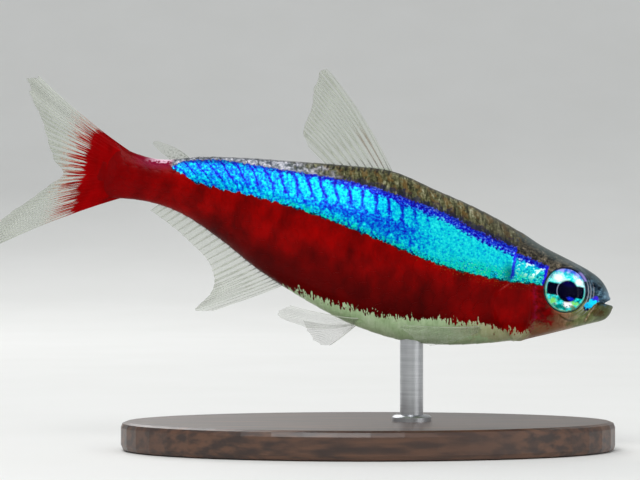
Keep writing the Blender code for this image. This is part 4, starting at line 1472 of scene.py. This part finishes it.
def paint_lens():
    """Black, with painted sheens: navy high up and blue low in front."""
    p = Paint("lens", Roughness=0.15, Specular_IOR_Level=0.01)
    a, b, _ = p.read("eye")
    fine = noise(vector(a, b), 6.0, 3.0)
    sheen = blob(a, b, (-0.5, -0.5), (0.36, 0.14), sway(fine, 0.5))
    # Painted reflection: a navy sheen high on the lens.
    navy = blob(a, b, (-0.1, 0.45), (0.5, 0.2), sway(fine, 0.6))
    black = mix(navy, (2, 2, 26), (6, 2, 64))
    return p.finish(Base_Color=mix(sheen, black, (14, 36, 210)))


def paint_cornea():
    """A clear dome that only mirrors, and more so at its rim."""
    p = Paint("cornea", Base_Color=linear(WHITE), Roughness=0.02, Metallic=1.0)
    return p.finish(Alpha=add_node("Fresnel", {"IOR": 1.33}, 0, p.tree) * 0.12)


def paint_wood():
    """Dark wood with long grain and a satin varnish."""
    p = Paint("stand_wood", Roughness=0.38, Coat_Weight=0.3, Coat_Roughness=0.25)
    x, y, z = p.place()
    lines = noise(vector(x * 180.0, y * 1900.0, z * 1900.0), 1.0, 4.0)
    broad = noise(vector(x * 40.0, y * 220.0, z))
    colour = mix(step(lines, 0.35, 0.65), (46, 28, 20), (92, 60, 40))
    colour = mix(step(broad, 0.4, 0.65) * 0.5, colour, (64, 40, 28))
    p.bump(lines, 0.25, 0.00004)
    return p.finish(Base_Color=colour)


def paint_steel():
    """Steel turned on a lathe, with fine rings."""
    p = Paint("stand_steel", Roughness=0.3, Metallic=1.0)
    x, y, z = p.place()
    rings = noise(vector(x * 300.0, y * 300.0, z * 9000.0))
    return p.finish(Base_Color=mix(rings, (150, 152, 156), (206, 208, 210)))


def paint_floor():
    p = Paint("floor", Roughness=0.85)
    x, y, z = p.place()
    fine = noise(vector(x, y, z), 60.0, 3.0)
    return p.finish(Base_Color=mix(fine, (236, 236, 233), (242, 242, 240)))


# Stand

ROD_AROUND = 48


def make_rod(material):
    """The rod with a small foot collar and a cupped end that meets the belly."""
    low, high = [np.array(corner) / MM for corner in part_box("stand_rod")]
    x, y = (low[:2] + high[:2]) / 2
    radius = (high[0] - low[0]) / 2
    base_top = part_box("stand_base")[1][2] / MM
    turns = np.linspace(0.0, 2 * math.pi, ROD_AROUND, endpoint=False)
    heights = [base_top - 0.2, base_top + 0.28, base_top + 0.4, base_top + 0.46]
    widths = [radius * 1.7, radius * 1.7, radius * 1.55, radius]
    steps = np.linspace(base_top + 0.5, high[2] - 0.4, 12)
    rings = [(w, h) for w, h in zip(widths, heights)] + [(radius, h) for h in steps]
    spots = []
    for width, height in rings:
        xs, ys = x + width * np.cos(turns), y + width * np.sin(turns)
        spots.append(np.stack([xs, ys, np.full(ROD_AROUND, height)], -1))
    for width in (radius, radius * 0.6, radius * 0.2):
        xs, ys = x + width * np.cos(turns), y + width * np.sin(turns)
        spots.append(np.stack([xs, ys, belly_over(xs, ys) + 0.04], -1))
    spots = np.concatenate(spots)
    faces = grid_faces(len(spots) // ROD_AROUND, ROD_AROUND, wrap=True)
    faces.append(tuple(range(ROD_AROUND - 1, -1, -1)))
    last = len(spots) - ROD_AROUND
    faces.append(tuple(range(last, last + ROD_AROUND)))
    rod = make_piece("stand_rod_cupped", spots * MM, faces, material)
    rod.data.set_sharp_from_angle(angle=math.radians(40))
    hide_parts("stand_rod")


def belly_over(xs, ys):
    """Height of the underside of the fish over places of the floor, in millimetres."""
    alongs = np.linspace(9.0, 16.0, 240)
    shares = np.linspace(0.8, 1.0, 120)
    along, share = np.meshgrid(alongs, shares, indexing="ij")
    spots = np.concatenate([scale_spots(along, share, hand, -SCALE_DEPTH).reshape(-1, 3) for hand in (1, -1)])
    spots = pitched(bent(spots)) + OFFSET
    heights = []
    for x, y in zip(np.ravel(xs), np.ravel(ys)):
        nearest = np.argsort(np.hypot(spots[:, 0] - x, spots[:, 1] - y))[:4]
        heights.append(spots[nearest, 2].mean())
    return np.array(heights)


# Stage

PIXELS_PER_MM = 14.54
FRAME_SIZE = (640, 480)
SNOUT_PIXEL = (610, 302)
LENS_MM = 150.0
SENSOR_MM = 36.0


def make_camera():
    """A level camera on the right side of the fish, as far off as a long lens needs for the photo's
    framing."""
    data = bpy.data.cameras.new("camera")
    data.lens = LENS_MM
    data.sensor_width = SENSOR_MM
    data.clip_start = 0.001
    camera = bpy.data.objects.new("camera", data)
    bpy.context.scene.collection.objects.link(camera)
    snout = world(np.array([0.0, 0.0, 0.0]))
    away = LENS_MM / SENSOR_MM * FRAME_SIZE[0] / PIXELS_PER_MM * MM
    right = (SNOUT_PIXEL[0] - FRAME_SIZE[0] / 2) / PIXELS_PER_MM * MM
    down = (SNOUT_PIXEL[1] - FRAME_SIZE[1] / 2) / PIXELS_PER_MM * MM
    camera.location = (snout[0] - right, -away, snout[2] + down)
    camera.rotation_euler = (math.pi / 2, 0.0, 0.0)
    bpy.context.scene.camera = camera


def make_floor(material):
    """A pale floor that sweeps up into a backdrop behind the model and another one behind the camera."""
    width, near, far, radius, top = 3.0, -0.8, 0.25, 0.4, 0.7
    turns = np.linspace(0.0, math.pi / 2, 13)
    sweep = [(radius * math.sin(turn), radius * (1 - math.cos(turn))) for turn in turns] + [(radius, top)]
    profile = [(near - y, z) for y, z in reversed(sweep)] + [(far + y, z) for y, z in sweep]
    spots = [(x, y, z) for y, z in profile for x in (-width, width)]
    mesh = bpy.data.meshes.new("floor")
    mesh.from_pydata(spots, [], [(2 * i, 2 * i + 1, 2 * i + 3, 2 * i + 2) for i in range(len(profile) - 1)])
    mesh.shade_smooth()
    floor = bpy.data.objects.new("floor", mesh)
    bpy.context.scene.collection.objects.link(floor)
    mesh.materials.append(material)


def make_light(name, place, size, power, colour=(1.0, 1.0, 1.0)):
    """A soft square light that looks at the middle of the fish."""
    data = bpy.data.lights.new(name, "AREA")
    data.size = size
    data.energy = power
    data.color = colour
    light = bpy.data.objects.new(name, data)
    light.location = place
    target = Vector((-0.002, 0.0, 0.014))
    light.rotation_euler = (target - Vector(place)).to_track_quat("-Z", "Y").to_euler()
    bpy.context.scene.collection.objects.link(light)


def make_lights():
    make_light("key", (-0.06, -0.22, 0.24), 0.16, 0.5)
    make_light("fill", (0.24, -0.2, 0.08), 0.22, 0.16)
    make_light("rim", (-0.1, 0.24, 0.2), 0.2, 0.3)
    sky = bpy.data.worlds.new("studio")
    sky.use_nodes = True
    background = sky.node_tree.nodes["Background"]
    background.inputs[0].default_value = (0.86, 0.88, 0.9, 1.0)
    background.inputs[1].default_value = 0.62
    bpy.context.scene.world = sky
    bpy.context.scene.view_settings.view_transform = "Standard"


def main():
    rng = np.random.default_rng(SEED)
    make_camera()
    fish = paint_fish()
    make_skin(fish)
    for hand, word in ((1, "left"), (-1, "right")):
        make_scales(hand, word, fish, rng)
    film = paint_fin("fin_film", 0.9)
    make_median_fins(film, paint_adipose())
    make_caudal_fin(film)
    make_paired_fins(paint_fin("clear_film", 0.4))
    make_eyes(paint_iris(), paint_lens(), paint_cornea())
    make_rod(paint_steel())
    base = frame["nodes"]["stand_base"]
    base.data.materials.clear()
    base.data.materials.append(paint_wood())
    make_floor(paint_floor())
    make_lights()


main()
